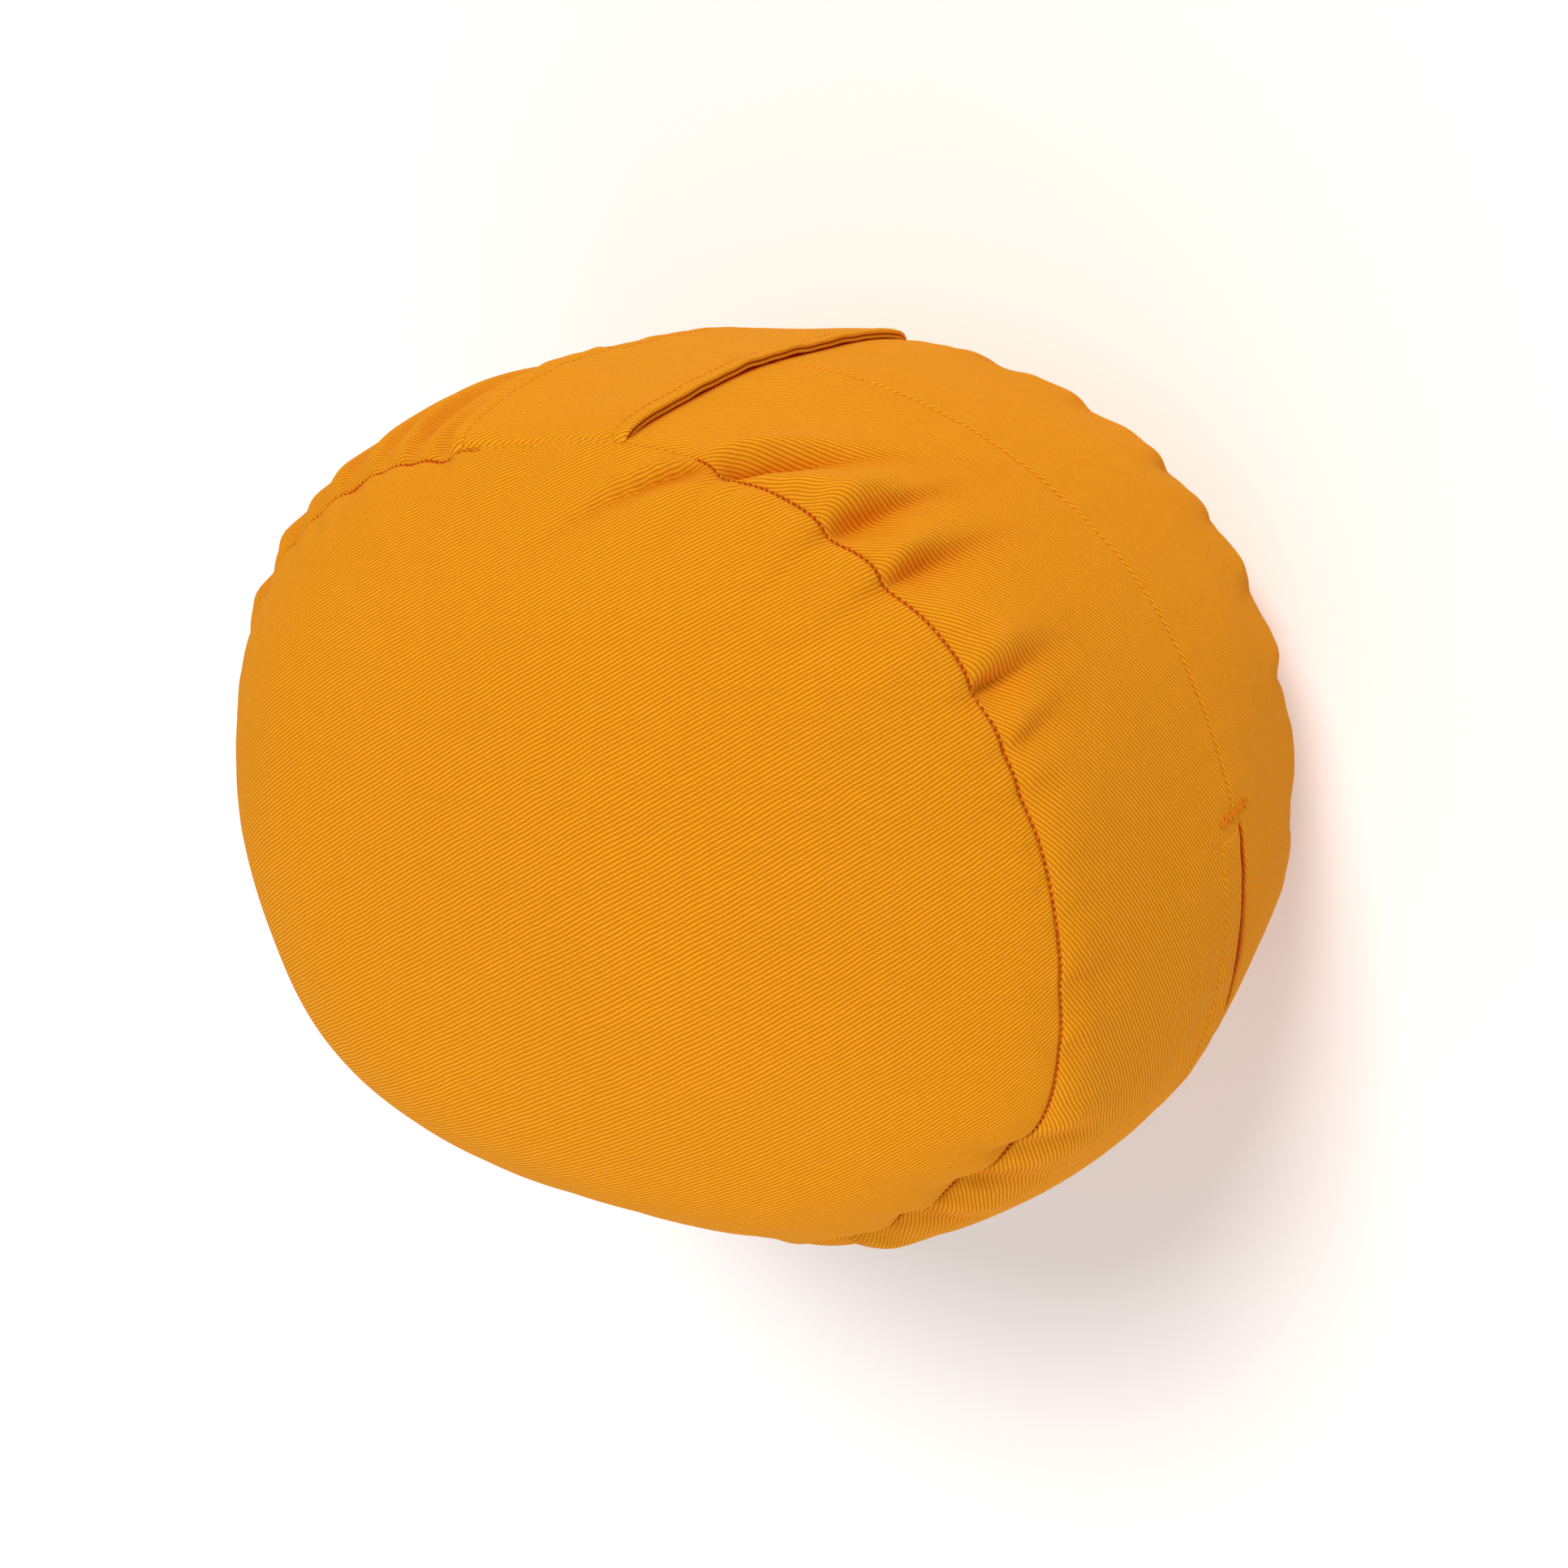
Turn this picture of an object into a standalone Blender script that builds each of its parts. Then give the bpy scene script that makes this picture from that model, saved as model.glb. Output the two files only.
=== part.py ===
"""Round yoga cushion of orange twill, lying on its back panel.

Frame: X runs across the front panel, Y runs towards the carrying handle and Z is up, out of the
front panel. The origin is on the surface that the cushion lies on, under the middle of its outline.
Angles go round the outline from +X towards +Y, so the handle is near 91 degrees and the zip starts
just below 0 degrees.
"""
import bpy
import numpy as np

for old_object in list(bpy.data.objects):
    bpy.data.objects.remove(old_object, do_unlink=True)

MM = 0.001

# Outline of the two panels, as the seams draw it. The filling has sunk away from the handle, so the
# outline is wider than it is high and the seams lie off the middle of the whole cushion.
SEAM_HALF_WIDTH = 150.0 * MM
SEAM_HALF_HEIGHT = 123.1 * MM
SEAM_SQUARENESS = 2.29
SEAM_CENTRE_X = 5.27 * MM
SEAM_CENTRE_Y = 6.67 * MM
TWO_LOBES = -0.011
THREE_LOBES_ACROSS = 0.007
THREE_LOBES_UP = -0.013

# Heights, from the back panel's resting face to the crown of the front panel.
BACK_DEPTH = 31.0 * MM
BAND_HALF_HEIGHT = 78.1 * MM
MID_HEIGHT = BACK_DEPTH + BAND_HALF_HEIGHT
SEAM_TILT_SADDLE = 5.2 * MM
SEAM_TILT_SKEW = -2.9 * MM
SEAM_TILT_UP = -2.9 * MM

# Band: how far it swells past the seams, less towards the handle and the zip.
BAND_SWELL = 21.7 * MM
SWELL_UP = -0.40
SWELL_ACROSS = -0.355
SWELL_SHAPE = 0.588
MID_GROOVE_DEPTH = 0.9 * MM
MID_GROOVE_HALF_WIDTH = 2.4 * MM
GROOVE_EDGE_SHARE = 1.3

# Front panel: crown over the seam's plane, fuller towards the end away from the handle.
CROWN = 62.3 * MM
CROWN_FLATNESS = 2.85
CROWN_SHOULDER = 0.81
CROWN_SAG = 0.24
CROWN_SAG_ACROSS = -0.054

# Back panel: flat where it rests, then a round shoulder up to the back seam.
REST_SHARE = 0.70
BACK_SHOULDER_TURN = np.radians(74.0)

# Pleats where the band is gathered into the panel seams.
PLEAT_COLUMNS = ("angle", "depth", "half_width", "reach", "lean")
FRONT_PLEATS = (
    (62.0, 1.5, 3.4, 30.0, 6.0),
    (50.0, 2.6, 3.4, 40.0, 7.0),
    (41.0, 3.0, 3.2, 42.0, 5.0),
    (25.5, 3.0, 3.4, 38.0, 4.0),
    (13.0, 1.6, 3.6, 32.0, 3.0),
    (-6.0, 1.2, 3.8, 34.0, -2.0),
    (-24.0, 2.0, 3.2, 26.0, 0.0),
    (-34.0, 3.0, 3.2, 28.0, 0.0),
    (-46.0, 3.0, 3.4, 30.0, -3.0),
    (-61.0, 2.2, 3.6, 30.0, 2.0),
    (-78.0, 2.6, 3.4, 34.0, -2.0),
    (-93.0, 1.8, 3.6, 28.0, 3.0),
    (-112.0, 2.4, 3.4, 32.0, 0.0),
    (-129.0, 1.6, 3.8, 30.0, 2.0),
    (-145.0, 2.2, 3.4, 34.0, -3.0),
    (-164.0, 1.6, 3.6, 28.0, 2.0),
    (179.0, 2.0, 3.4, 30.0, -2.0),
    (161.0, 1.6, 3.6, 30.0, 3.0),
    (145.0, 2.0, 3.4, 32.0, 0.0),
    (133.0, 2.2, 3.2, 30.0, -3.0),
    (121.0, 2.2, 3.2, 34.0, -4.0),
    (111.0, 1.4, 3.2, 26.0, -3.0),
)
BACK_PLEATS = (
    (60.0, 2.0, 3.4, 32.0, 3.0),
    (46.0, 2.2, 3.4, 36.0, 4.0),
    (33.0, 3.0, 3.2, 38.0, 3.0),
    (26.0, 2.2, 3.2, 34.0, 2.0),
    (16.0, 2.8, 3.4, 36.0, 0.0),
    (6.0, 2.2, 3.4, 32.0, -2.0),
    (-9.0, 2.6, 3.4, 34.0, -2.0),
    (-27.0, 1.8, 3.6, 30.0, 3.0),
    (-42.0, 2.6, 3.4, 32.0, 0.0),
    (-58.0, 2.0, 3.6, 28.0, -3.0),
    (-75.0, 2.6, 3.4, 34.0, 2.0),
    (-95.0, 2.0, 3.4, 30.0, 0.0),
    (-113.0, 2.8, 3.4, 34.0, -2.0),
    (-131.0, 1.8, 3.6, 28.0, 3.0),
    (-148.0, 2.4, 3.4, 32.0, 0.0),
    (-166.0, 1.8, 3.6, 30.0, 2.0),
    (176.0, 2.4, 3.4, 34.0, -3.0),
    (158.0, 2.0, 3.6, 28.0, 0.0),
    (142.0, 2.4, 3.4, 32.0, 3.0),
    (127.0, 2.0, 3.4, 30.0, -2.0),
    (115.0, 1.6, 3.2, 26.0, -2.0),
)
PLEAT_PEAK_SHARE = 0.28
RIDGE_SHARE = 0.55
RIDGE_OFFSET = 1.9
RIDGE_WIDTH = 1.3
SEAM_DIP_SHARE = 0.5
SEAM_PULL_SHARE = 0.3
SEAM_WAVER_FADE = 12.0 * MM

# The handle presses the band in under it. The front seam is drawn in at the handle's foot and
# where the cushion was standing on its rim.
HANDLE_PRESS = 0.42
HANDLE_PRESS_TURN = np.radians(17.0)
SEAM_DRAW_COLUMNS = ("angle", "draw", "half_width")
SEAM_DRAWS = (
    (99.0, 3.2, 19.0),
    (-39.0, 4.5, 11.0),
)
SEAM_DRAW_FADE = 22.0 * MM

# Carrying handle: a wide strap of doubled cloth across the band, caught in both seams.
HANDLE_ANGLE = np.radians(91.0)
HANDLE_WIDTH = 62.0 * MM
HANDLE_LAYER = 1.5 * MM
HANDLE_THICKNESS = 2.0 * HANDLE_LAYER
HANDLE_SEAT_GAP = 0.5 * MM
HANDLE_SLACK = 1.7 * MM
HANDLE_END = 0.988
HANDLE_ROUND = 0.7 * MM
HANDLE_GROOVE_DEPTH = 0.9 * MM
HANDLE_STEPS_ALONG = 34
HANDLE_STEPS_ACROSS = 8

# Zip flap: the strip that laps over the zip, folded along the middle of the band.
ZIP_START = np.radians(-2.0)
ZIP_END = np.radians(-92.0)
ZIP_STEPS = 30
FLAP_WIDTH = 15.0 * MM
FLAP_FOLD_HEIGHT = -1.5 * MM
FLAP_FOLD_THICKNESS = 2.0 * MM
FLAP_SEWN_THICKNESS = 1.0 * MM
FLAP_SEAT_GAP = 0.45 * MM
FLAP_STEPS_ACROSS = 5

NORMAL_STEP = 0.004
SHARP_ANGLE = np.radians(50.0)
SEGMENTS = 120
BAND_STEPS = 14
FRONT_RINGS = (1.0, 0.988, 0.965, 0.93, 0.88, 0.81, 0.71, 0.57, 0.38, 0.19)
BACK_SHOULDER_STEPS = 5

CLOTH_COLOUR = (0.78, 0.30, 0.012, 1.0)
CLOTH_ROUGHNESS = 0.9


def bell(value):
    """A round hump: 1 at zero, near 0 past two."""
    return np.exp(-value ** 2)


def wrap(angle):
    """The angle brought between -180 and 180 degrees, in radians."""
    return (angle + np.pi) % (2.0 * np.pi) - np.pi


def seam_radius(angle):
    """Distance of the panel seams from their centre: a squarish oval with three soft lobes."""
    cosine, sine = np.cos(angle), np.sin(angle)
    power = SEAM_SQUARENESS
    across, upward = np.abs(cosine / SEAM_HALF_WIDTH), np.abs(sine / SEAM_HALF_HEIGHT)
    oval = (across ** power + upward ** power) ** (-1.0 / power)
    lobes = THREE_LOBES_ACROSS * np.cos(3.0 * angle) + THREE_LOBES_UP * np.sin(3.0 * angle)
    return oval * (1.0 + lobes + TWO_LOBES * np.sin(2.0 * angle))


def front_seam_rise(angle):
    """Height of the front seam over the middle of the band, before its pleats."""
    saddle = SEAM_TILT_SADDLE * np.cos(2.0 * angle) + SEAM_TILT_SKEW * np.sin(2.0 * angle)
    return BAND_HALF_HEIGHT + saddle + SEAM_TILT_UP * np.sin(angle)


def seam_draw(angle, distance):
    """How far the front seam is drawn in and up, fading with distance from the seam."""
    total = np.zeros(np.broadcast(angle, distance).shape)
    for row in SEAM_DRAWS:
        spot = dict(zip(SEAM_DRAW_COLUMNS, row))
        place = np.degrees(wrap(angle - np.radians(spot["angle"]))) / spot["half_width"]
        total += spot["draw"] * MM * bell(place) * np.exp(-distance / SEAM_DRAW_FADE)
    return total


def pleats(angle, distance, table):
    """Inward push of the pleats on the band, and how strongly each pleat pinches the seam line.

    A pleat is a valley with a softer ridge beside it. It starts at nothing on the seam, is deepest
    a little way from it and fades out over its reach.
    """
    push = np.zeros(np.broadcast(angle, distance).shape)
    pinch = np.zeros_like(push)
    for row in table:
        pleat = dict(zip(PLEAT_COLUMNS, row))
        depth, reach = pleat["depth"] * MM, pleat["reach"] * MM
        drift = np.radians(pleat["lean"]) * distance / reach
        place = np.degrees(wrap(angle - np.radians(pleat["angle"]) - drift)) / pleat["half_width"]
        along = distance / (PLEAT_PEAK_SHARE * reach)
        fade = along * np.exp(1.0 - along)
        push += depth * fade * (bell(place) - RIDGE_SHARE * bell((place - RIDGE_OFFSET) / RIDGE_WIDTH))
        pinch += depth * bell(place)
    return push, pinch


def band_point(angle, across):
    """Point of the band. across runs from -1 on the back seam to 1 on the front seam."""
    swell = BAND_SWELL * (1.0 + SWELL_UP * np.sin(angle) + SWELL_ACROSS * np.cos(angle))
    swell = swell * (1.0 - HANDLE_PRESS * bell(wrap(angle - HANDLE_ANGLE) / HANDLE_PRESS_TURN))
    rise = np.where(across >= 0.0, front_seam_rise(angle), BAND_HALF_HEIGHT)
    distance = (1.0 - np.abs(across)) * rise
    front_push, front_pinch = pleats(angle, distance, FRONT_PLEATS)
    back_push, back_pinch = pleats(angle, distance, BACK_PLEATS)
    push = np.where(across >= 0.0, front_push, back_push)
    pinch = np.where(across >= 0.0, front_pinch, back_pinch) * np.exp(-distance / SEAM_WAVER_FADE)
    groove = MID_GROOVE_DEPTH * bell(across * rise / MID_GROOVE_HALF_WIDTH)
    radius = seam_radius(angle) + swell * (1.0 - across ** 2) ** SWELL_SHAPE
    draw = np.where(across >= 0.0, seam_draw(angle, distance), 0.0)
    radius = radius - push - groove - SEAM_PULL_SHARE * pinch - draw
    height = MID_HEIGHT + across * rise - np.sign(across) * SEAM_DIP_SHARE * pinch + draw
    return place_round(angle, radius, height)


def place_round(angle, radius, height):
    """The point at an angle and a radius from the seams' centre, at a height over the floor."""
    east = SEAM_CENTRE_X + radius * np.cos(angle)
    north = SEAM_CENTRE_Y + radius * np.sin(angle)
    return np.stack(np.broadcast_arrays(east, north, height), axis=-1)


def front_panel_point(angle, share):
    """Point of the front panel. share is 0 in its middle and 1 on the front seam."""
    radius = seam_radius(angle) * share
    pinch = pleats(angle, np.zeros_like(angle), FRONT_PLEATS)[1]
    distance = (1.0 - share) * seam_radius(angle)
    pinch = pinch * np.exp(-distance / SEAM_WAVER_FADE)
    draw = seam_draw(angle, distance) * share
    fuller = 1.0 - CROWN_SAG * radius * np.sin(angle) / SEAM_HALF_HEIGHT
    fuller = fuller + CROWN_SAG_ACROSS * radius * np.cos(angle) / SEAM_HALF_WIDTH
    crown = CROWN * (1.0 - share ** CROWN_FLATNESS) ** CROWN_SHOULDER * fuller
    edge = BAND_HALF_HEIGHT + (front_seam_rise(angle) - BAND_HALF_HEIGHT) * share ** 2
    height = MID_HEIGHT + edge + crown - SEAM_DIP_SHARE * pinch + draw
    return place_round(angle, radius - SEAM_PULL_SHARE * pinch - draw, height)


def back_panel_point(angle, turn):
    """Point of the back panel's shoulder. turn is 0 at the resting face and 1 on the back seam."""
    pinch = pleats(angle, np.zeros_like(angle), BACK_PLEATS)[1] * turn ** 2
    sweep = np.sin(BACK_SHOULDER_TURN * turn) / np.sin(BACK_SHOULDER_TURN)
    lift = (1.0 - np.cos(BACK_SHOULDER_TURN * turn)) / (1.0 - np.cos(BACK_SHOULDER_TURN))
    radius = seam_radius(angle) * (REST_SHARE + (1.0 - REST_SHARE) * sweep)
    height = BACK_DEPTH * lift + SEAM_DIP_SHARE * pinch
    return place_round(angle, radius - SEAM_PULL_SHARE * pinch, height)


def band_normal(angle, across):
    """Unit vector out of the band, from two small steps along its surface."""
    around = band_point(angle + NORMAL_STEP, across) - band_point(angle - NORMAL_STEP, across)
    upward = band_point(angle, across + NORMAL_STEP) - band_point(angle, across - NORMAL_STEP)
    normal = np.cross(around, upward)
    return normal / np.linalg.norm(normal, axis=-1, keepdims=True)


def ring_faces(ring_count, ring_size):
    """Quads that join closed rings of equal size, each ring following the last."""
    faces = []
    for ring in range(ring_count - 1):
        for step in range(ring_size):
            after = (step + 1) % ring_size
            low, high = ring * ring_size, (ring + 1) * ring_size
            faces.append((low + step, low + after, high + after, high + step))
    return faces


def add_object(name, points, faces):
    """A smooth-shaded object with the cushion's cloth on it."""
    mesh = bpy.data.meshes.new(name)
    mesh.from_pydata([tuple(point) for point in points], [], faces)
    mesh.validate()
    mesh.shade_smooth()
    mesh.set_sharp_from_angle(angle=SHARP_ANGLE)
    mesh.materials.append(cloth_material(name))
    made = bpy.data.objects.new(name, mesh)
    bpy.context.scene.collection.objects.link(made)
    return made


def cloth_material(name):
    """Matt orange cotton."""
    material = bpy.data.materials.new(name + "_cloth")
    material.use_nodes = True
    shader = material.node_tree.nodes["Principled BSDF"]
    shader.inputs["Base Color"].default_value = CLOTH_COLOUR
    shader.inputs["Roughness"].default_value = CLOTH_ROUGHNESS
    shader.inputs["Metallic"].default_value = 0.0
    return material


def band_rows():
    """Heights of the band's rings, closer together near the seams and at the middle groove."""
    rows = np.sin(np.linspace(-0.5, 0.5, BAND_STEPS + 1) * np.pi)
    groove_edge = GROOVE_EDGE_SHARE * MID_GROOVE_HALF_WIDTH / BAND_HALF_HEIGHT
    return np.sort(np.concatenate([rows[1:-1], [-groove_edge, groove_edge]]))


def build_cushion():
    """The filled body: resting face, back shoulder, gathered band and crowned front panel."""
    angle = np.linspace(0.0, 2.0 * np.pi, SEGMENTS, endpoint=False)
    rings = [back_panel_point(angle, turn) for turn in np.linspace(0.0, 1.0, BACK_SHOULDER_STEPS + 1)]
    rings += [band_point(angle, np.full_like(angle, across)) for across in band_rows()]
    rings += [front_panel_point(angle, share) for share in FRONT_RINGS]
    rings[0][:, 2] = 0.0
    top = front_panel_point(np.zeros(1), 0.0)
    points = np.concatenate(rings + [top])
    faces = [tuple(range(SEGMENTS - 1, -1, -1))]
    faces += ring_faces(len(rings), SEGMENTS)
    last = (len(rings) - 1) * SEGMENTS
    centre = len(points) - 1
    faces += [(last + step, last + (step + 1) % SEGMENTS, centre) for step in range(SEGMENTS)]
    return add_object("cushion", points, faces)


def sweep_faces(ring_count, ring_size):
    """Closed skin of a swept section: its sides and its two flat ends."""
    first = tuple(range(ring_size - 1, -1, -1))
    last = tuple(range((ring_count - 1) * ring_size, ring_count * ring_size))
    return [first] + ring_faces(ring_count, ring_size) + [last]


def handle_section():
    """Outline of the doubled strap: place across it from -1 to 1, and height over its seat."""
    side = HANDLE_WIDTH / 2.0
    inner = 1.0 - HANDLE_ROUND / side
    notch = 1.0 - HANDLE_GROOVE_DEPTH / side
    edge = [(inner, 0.0), (1.0, 0.3 * HANDLE_LAYER), (1.0, 0.8 * HANDLE_LAYER), (notch, HANDLE_LAYER),
            (1.0, 1.2 * HANDLE_LAYER), (1.0, 1.7 * HANDLE_LAYER), (inner, HANDLE_THICKNESS)]
    between = np.linspace(-inner, inner, HANDLE_STEPS_ACROSS + 1)[1:-1]
    under = [(place, 0.0) for place in between]
    over = [(place, HANDLE_THICKNESS) for place in between[::-1]]
    other_edge = [(-place, height) for place, height in edge[::-1]]
    return np.array(under + edge + over + other_edge)


def build_handle():
    """The strap follows the band from seam to seam and stands off it a little in between."""
    section = handle_section()
    along = np.linspace(HANDLE_END, -HANDLE_END, HANDLE_STEPS_ALONG + 1)
    half_turn = HANDLE_WIDTH / 2.0 / seam_radius(HANDLE_ANGLE)
    rings = []
    for across in along:
        angle = HANDLE_ANGLE + half_turn * section[:, 0]
        level = np.full_like(angle, across)
        slack = HANDLE_SLACK * (1.0 - (across / HANDLE_END) ** 2)
        lift = HANDLE_SEAT_GAP + slack + section[:, 1]
        rings.append(band_point(angle, level) + lift[:, None] * band_normal(angle, level))
    return add_object("handle", np.concatenate(rings), sweep_faces(len(rings), len(section)))


def flap_section():
    """Outline of the lapped strip: height over the band's middle, and height over its seat."""
    rise = np.linspace(0.0, 1.0, FLAP_STEPS_ACROSS)
    height = FLAP_FOLD_HEIGHT + FLAP_WIDTH * rise
    thickness = FLAP_FOLD_THICKNESS + (FLAP_SEWN_THICKNESS - FLAP_FOLD_THICKNESS) * rise
    fold_round = 0.3 * FLAP_FOLD_THICKNESS
    under = [(place, 0.0) for place in height]
    over = [(place, thick) for place, thick in zip(height[::-1], thickness[::-1])]
    fold = [(FLAP_FOLD_HEIGHT - fold_round, 0.7 * FLAP_FOLD_THICKNESS),
            (FLAP_FOLD_HEIGHT - fold_round, 0.3 * FLAP_FOLD_THICKNESS)]
    return np.array(under + over + fold)


def build_zip_flap():
    """The strip lies along the middle of the band, its folded edge over the zip."""
    section = flap_section()
    rings = []
    for angle_here in np.linspace(ZIP_END, ZIP_START, ZIP_STEPS + 1):
        angle = np.full(len(section), angle_here)
        across = section[:, 0] / front_seam_rise(angle)
        lift = FLAP_SEAT_GAP + section[:, 1]
        rings.append(band_point(angle, across) + lift[:, None] * band_normal(angle, across))
    return add_object("zip_flap", np.concatenate(rings), sweep_faces(len(rings), len(section)))


build_cushion()
build_handle()
build_zip_flap()
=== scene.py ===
"""Dresses the yoga cushion: the twill cover with its seams and pleats, the handle, the zip flap and
the thread. Lengths are in metres and angles go round the outline from +X towards +Y.
"""

import bpy
import numpy as np
from mathutils import Matrix, Vector


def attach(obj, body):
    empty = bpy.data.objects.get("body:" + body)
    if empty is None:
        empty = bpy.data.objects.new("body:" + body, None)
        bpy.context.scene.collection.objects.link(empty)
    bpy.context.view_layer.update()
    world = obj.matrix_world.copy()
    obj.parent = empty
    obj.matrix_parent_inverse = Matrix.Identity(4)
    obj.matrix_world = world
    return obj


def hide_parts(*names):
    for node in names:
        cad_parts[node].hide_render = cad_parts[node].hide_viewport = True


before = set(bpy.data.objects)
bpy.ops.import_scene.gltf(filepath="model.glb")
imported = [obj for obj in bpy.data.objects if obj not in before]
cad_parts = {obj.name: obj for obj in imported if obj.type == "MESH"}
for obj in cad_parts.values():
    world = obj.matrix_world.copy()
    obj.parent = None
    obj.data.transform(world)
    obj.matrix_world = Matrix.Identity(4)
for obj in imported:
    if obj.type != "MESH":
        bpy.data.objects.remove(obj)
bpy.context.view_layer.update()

MM = 0.001

# Outline of the panels, as the seams draw it.
SEAM_HALF_WIDTH = 150.0 * MM
SEAM_HALF_HEIGHT = 123.1 * MM
SEAM_SQUARENESS = 2.29
SEAM_CENTRE_X = 5.27 * MM
SEAM_CENTRE_Y = 6.67 * MM
TWO_LOBES = -0.011
THREE_LOBES_ACROSS = 0.007
THREE_LOBES_UP = -0.013

# Heights from the resting face to the crown.
BACK_DEPTH = 31.0 * MM
BAND_HALF_HEIGHT = 78.1 * MM
MID_HEIGHT = BACK_DEPTH + BAND_HALF_HEIGHT
SEAM_TILT_SADDLE = 5.2 * MM
SEAM_TILT_SKEW = -2.9 * MM
SEAM_TILT_UP = -2.9 * MM

# Swell of the band past the seams.
BAND_SWELL = 21.7 * MM
SWELL_UP = -0.40
SWELL_ACROSS = -0.355
SWELL_SHAPE = 0.588

# Crown of the front panel over the seam's plane.
CROWN = 62.3 * MM
CROWN_FLATNESS = 2.85
CROWN_SHOULDER = 0.81
CROWN_SAG = 0.24
CROWN_SAG_ACROSS = -0.054

# Back panel: flat where it rests, then a round shoulder.
REST_SHARE = 0.70
BACK_SHOULDER_TURN = np.radians(74.0)

# Pleats where the band is gathered into the panel seams, in degrees and millimetres: angle, depth,
# half width in degrees, reach, lean in degrees on its way, and how far it notches the seam.
FRONT_PLEATS = (
    (62.2, 7.6, 2.6, 60, -19, 3.0), (46.6, 5.8, 2.5, 66, -6.5, 3.2),
    (38.2, 5.6, 2.5, 56, -4, 3.4), (24.3, 5.0, 2.4, 46, -1, 2.2),
    (17.8, 2.4, 2.6, 48, 2, 1.6), (13.5, 0.8, 2.4, 20, 0, 1.5),
    (-6, 1.5, 3.0, 40, -1, 0.8), (-13, 0.8, 3.0, 24, 0, 0.4),
    (-25.8, 2.6, 3.4, 40, 2, 3.6), (-33, 3.2, 4.6, 42, -2, 5.6),
    (-43.4, 2.8, 4.8, 40, -3, 4.4), (-52, 2.4, 3.0, 28, 1, 2.4),
    (-61, 2.8, 3.2, 32, 2, 3.0), (-78, 3.0, 3.2, 36, -2, 2.8),
    (-93, 2.4, 3.0, 28, 3, 2.2), (-112, 2.8, 3.2, 34, 0, 2.6),
    (-129, 2.2, 3.4, 30, 2, 2.0), (-145, 2.8, 3.2, 36, -3, 2.6),
    (-164, 2.0, 3.4, 28, 2, 1.8), (179, 2.4, 3.2, 32, -2, 2.0),
    (161, 2.0, 3.4, 30, 3, 1.8), (147, 2.4, 3.0, 34, 0, 1.6),
    (137, 2.4, 2.6, 34, 0, 1.6), (131, 1.9, 2.4, 80, 2, 1.0),
    (124.8, 3.3, 2.4, 110, 3, 1.6), (118.2, 3.4, 2.0, 120, 1.5, 0.7),
    (112.6, 4.6, 2.0, 140, 2, 1.2), (107.6, 2.0, 2.2, 60, 0, 2.0),
)
BACK_PLEATS = (
    (60, 1.0, 3.0, 34, 3, 1.8), (46, 1.0, 2.8, 38, 4, 1.8),
    (33, 1.5, 2.8, 40, 3, 2.0), (25, 1.3, 2.6, 34, 2, 1.6),
    (16, 1.5, 2.8, 38, 0, 2.0), (6, 1.5, 2.8, 32, -2, 1.6),
    (-9, 0.8, 3.0, 36, -2, 1.8), (-27, 1.0, 3.0, 30, 3, 1.6),
    (-42, 2.1, 3.0, 34, 0, 2.0), (-58, 1.7, 3.0, 28, -3, 1.6),
    (-75, 2.1, 3.0, 36, 2, 2.0), (-95, 1.7, 3.0, 30, 0, 1.6),
    (-113, 2.2, 3.0, 36, -2, 2.0), (-131, 1.5, 3.2, 28, 3, 1.6),
    (-148, 2.0, 3.0, 34, 0, 1.8), (-166, 1.5, 3.2, 30, 2, 1.6),
    (176, 2.0, 3.0, 36, -3, 1.8), (158, 1.7, 3.2, 28, 0, 1.6),
    (142, 2.0, 3.0, 34, 3, 1.8), (127, 1.7, 3.0, 30, -2, 1.6),
    (115, 1.4, 2.6, 26, -2, 1.4),
)
# Short creases that a notch leaves on the panel's own side of the seam, without the last column.
FACE_CREASES = (
    (64.6, 3.0, 2.4, 44, 22), (58.8, 1.2, 1.4, 20, 2),
    (47.3, 0.7, 1.8, 9, 1), (38.2, 0.8, 1.8, 10, 1),
    (23.8, 0.6, 1.6, 9, 0), (8.6, 0.5, 1.0, 11, 1),
    (5.4, 0.5, 1.0, 10, -1), (1, 0.4, 1.0, 9, 0),
    (-25.5, 0.7, 2.2, 16, -3), (-33.5, 0.8, 2.6, 20, -4),
    (-43, 0.9, 2.6, 20, 3), (-61, 1.2, 2.6, 16, 2),
    (-78, 1.0, 2.4, 14, -2), (-112, 1.0, 2.4, 14, 2),
    (-145, 0.9, 2.4, 14, -2), (145, 0.8, 2.2, 12, 2),
    (124, 0.8, 2.0, 12, -2),
)
PLEAT_PEAK_SHARE = 0.15
PLEAT_SKEW = 0.42
PLEAT_NARROW = 0.75
PLEAT_WIDEN = 0.9
PLEAT_WIDEN_LIMIT = 1.5
PLEAT_SHARPNESS = 2.4
RIDGE_SHARE = 0.42
RIDGE_OFFSET = 2.0
RIDGE_WIDTH = 1.2
NOTCH_WIDTH_SHARE = 0.55
NOTCH_BASE = 1.3 * MM
NOTCH_FADE = 11.0 * MM
NOTCH_DIP_SHARE = 0.12

# Painted shade in the folds, darker and redder cloth where a pleat's steep slope lies in shadow: the depth
# in millimetres that takes it whole, its place and width across a fold, how much further it reaches than
# the depth, and where it is paler.
FULL_SHADE_DEPTH = 7.0
FOLD_SHADE_OFFSET = 0.45
FOLD_SHADE_WIDTH = 0.62
FOLD_SHADE_REACH = 1.15
PALE_FOLDS_ANGLE = np.radians(120.0)
PALE_FOLDS_HALF_TURN = np.radians(20.0)
PALE_FOLDS_LOSS = 0.45
CREASE_SHADE_DEPTH = 4.0 * MM

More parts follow.
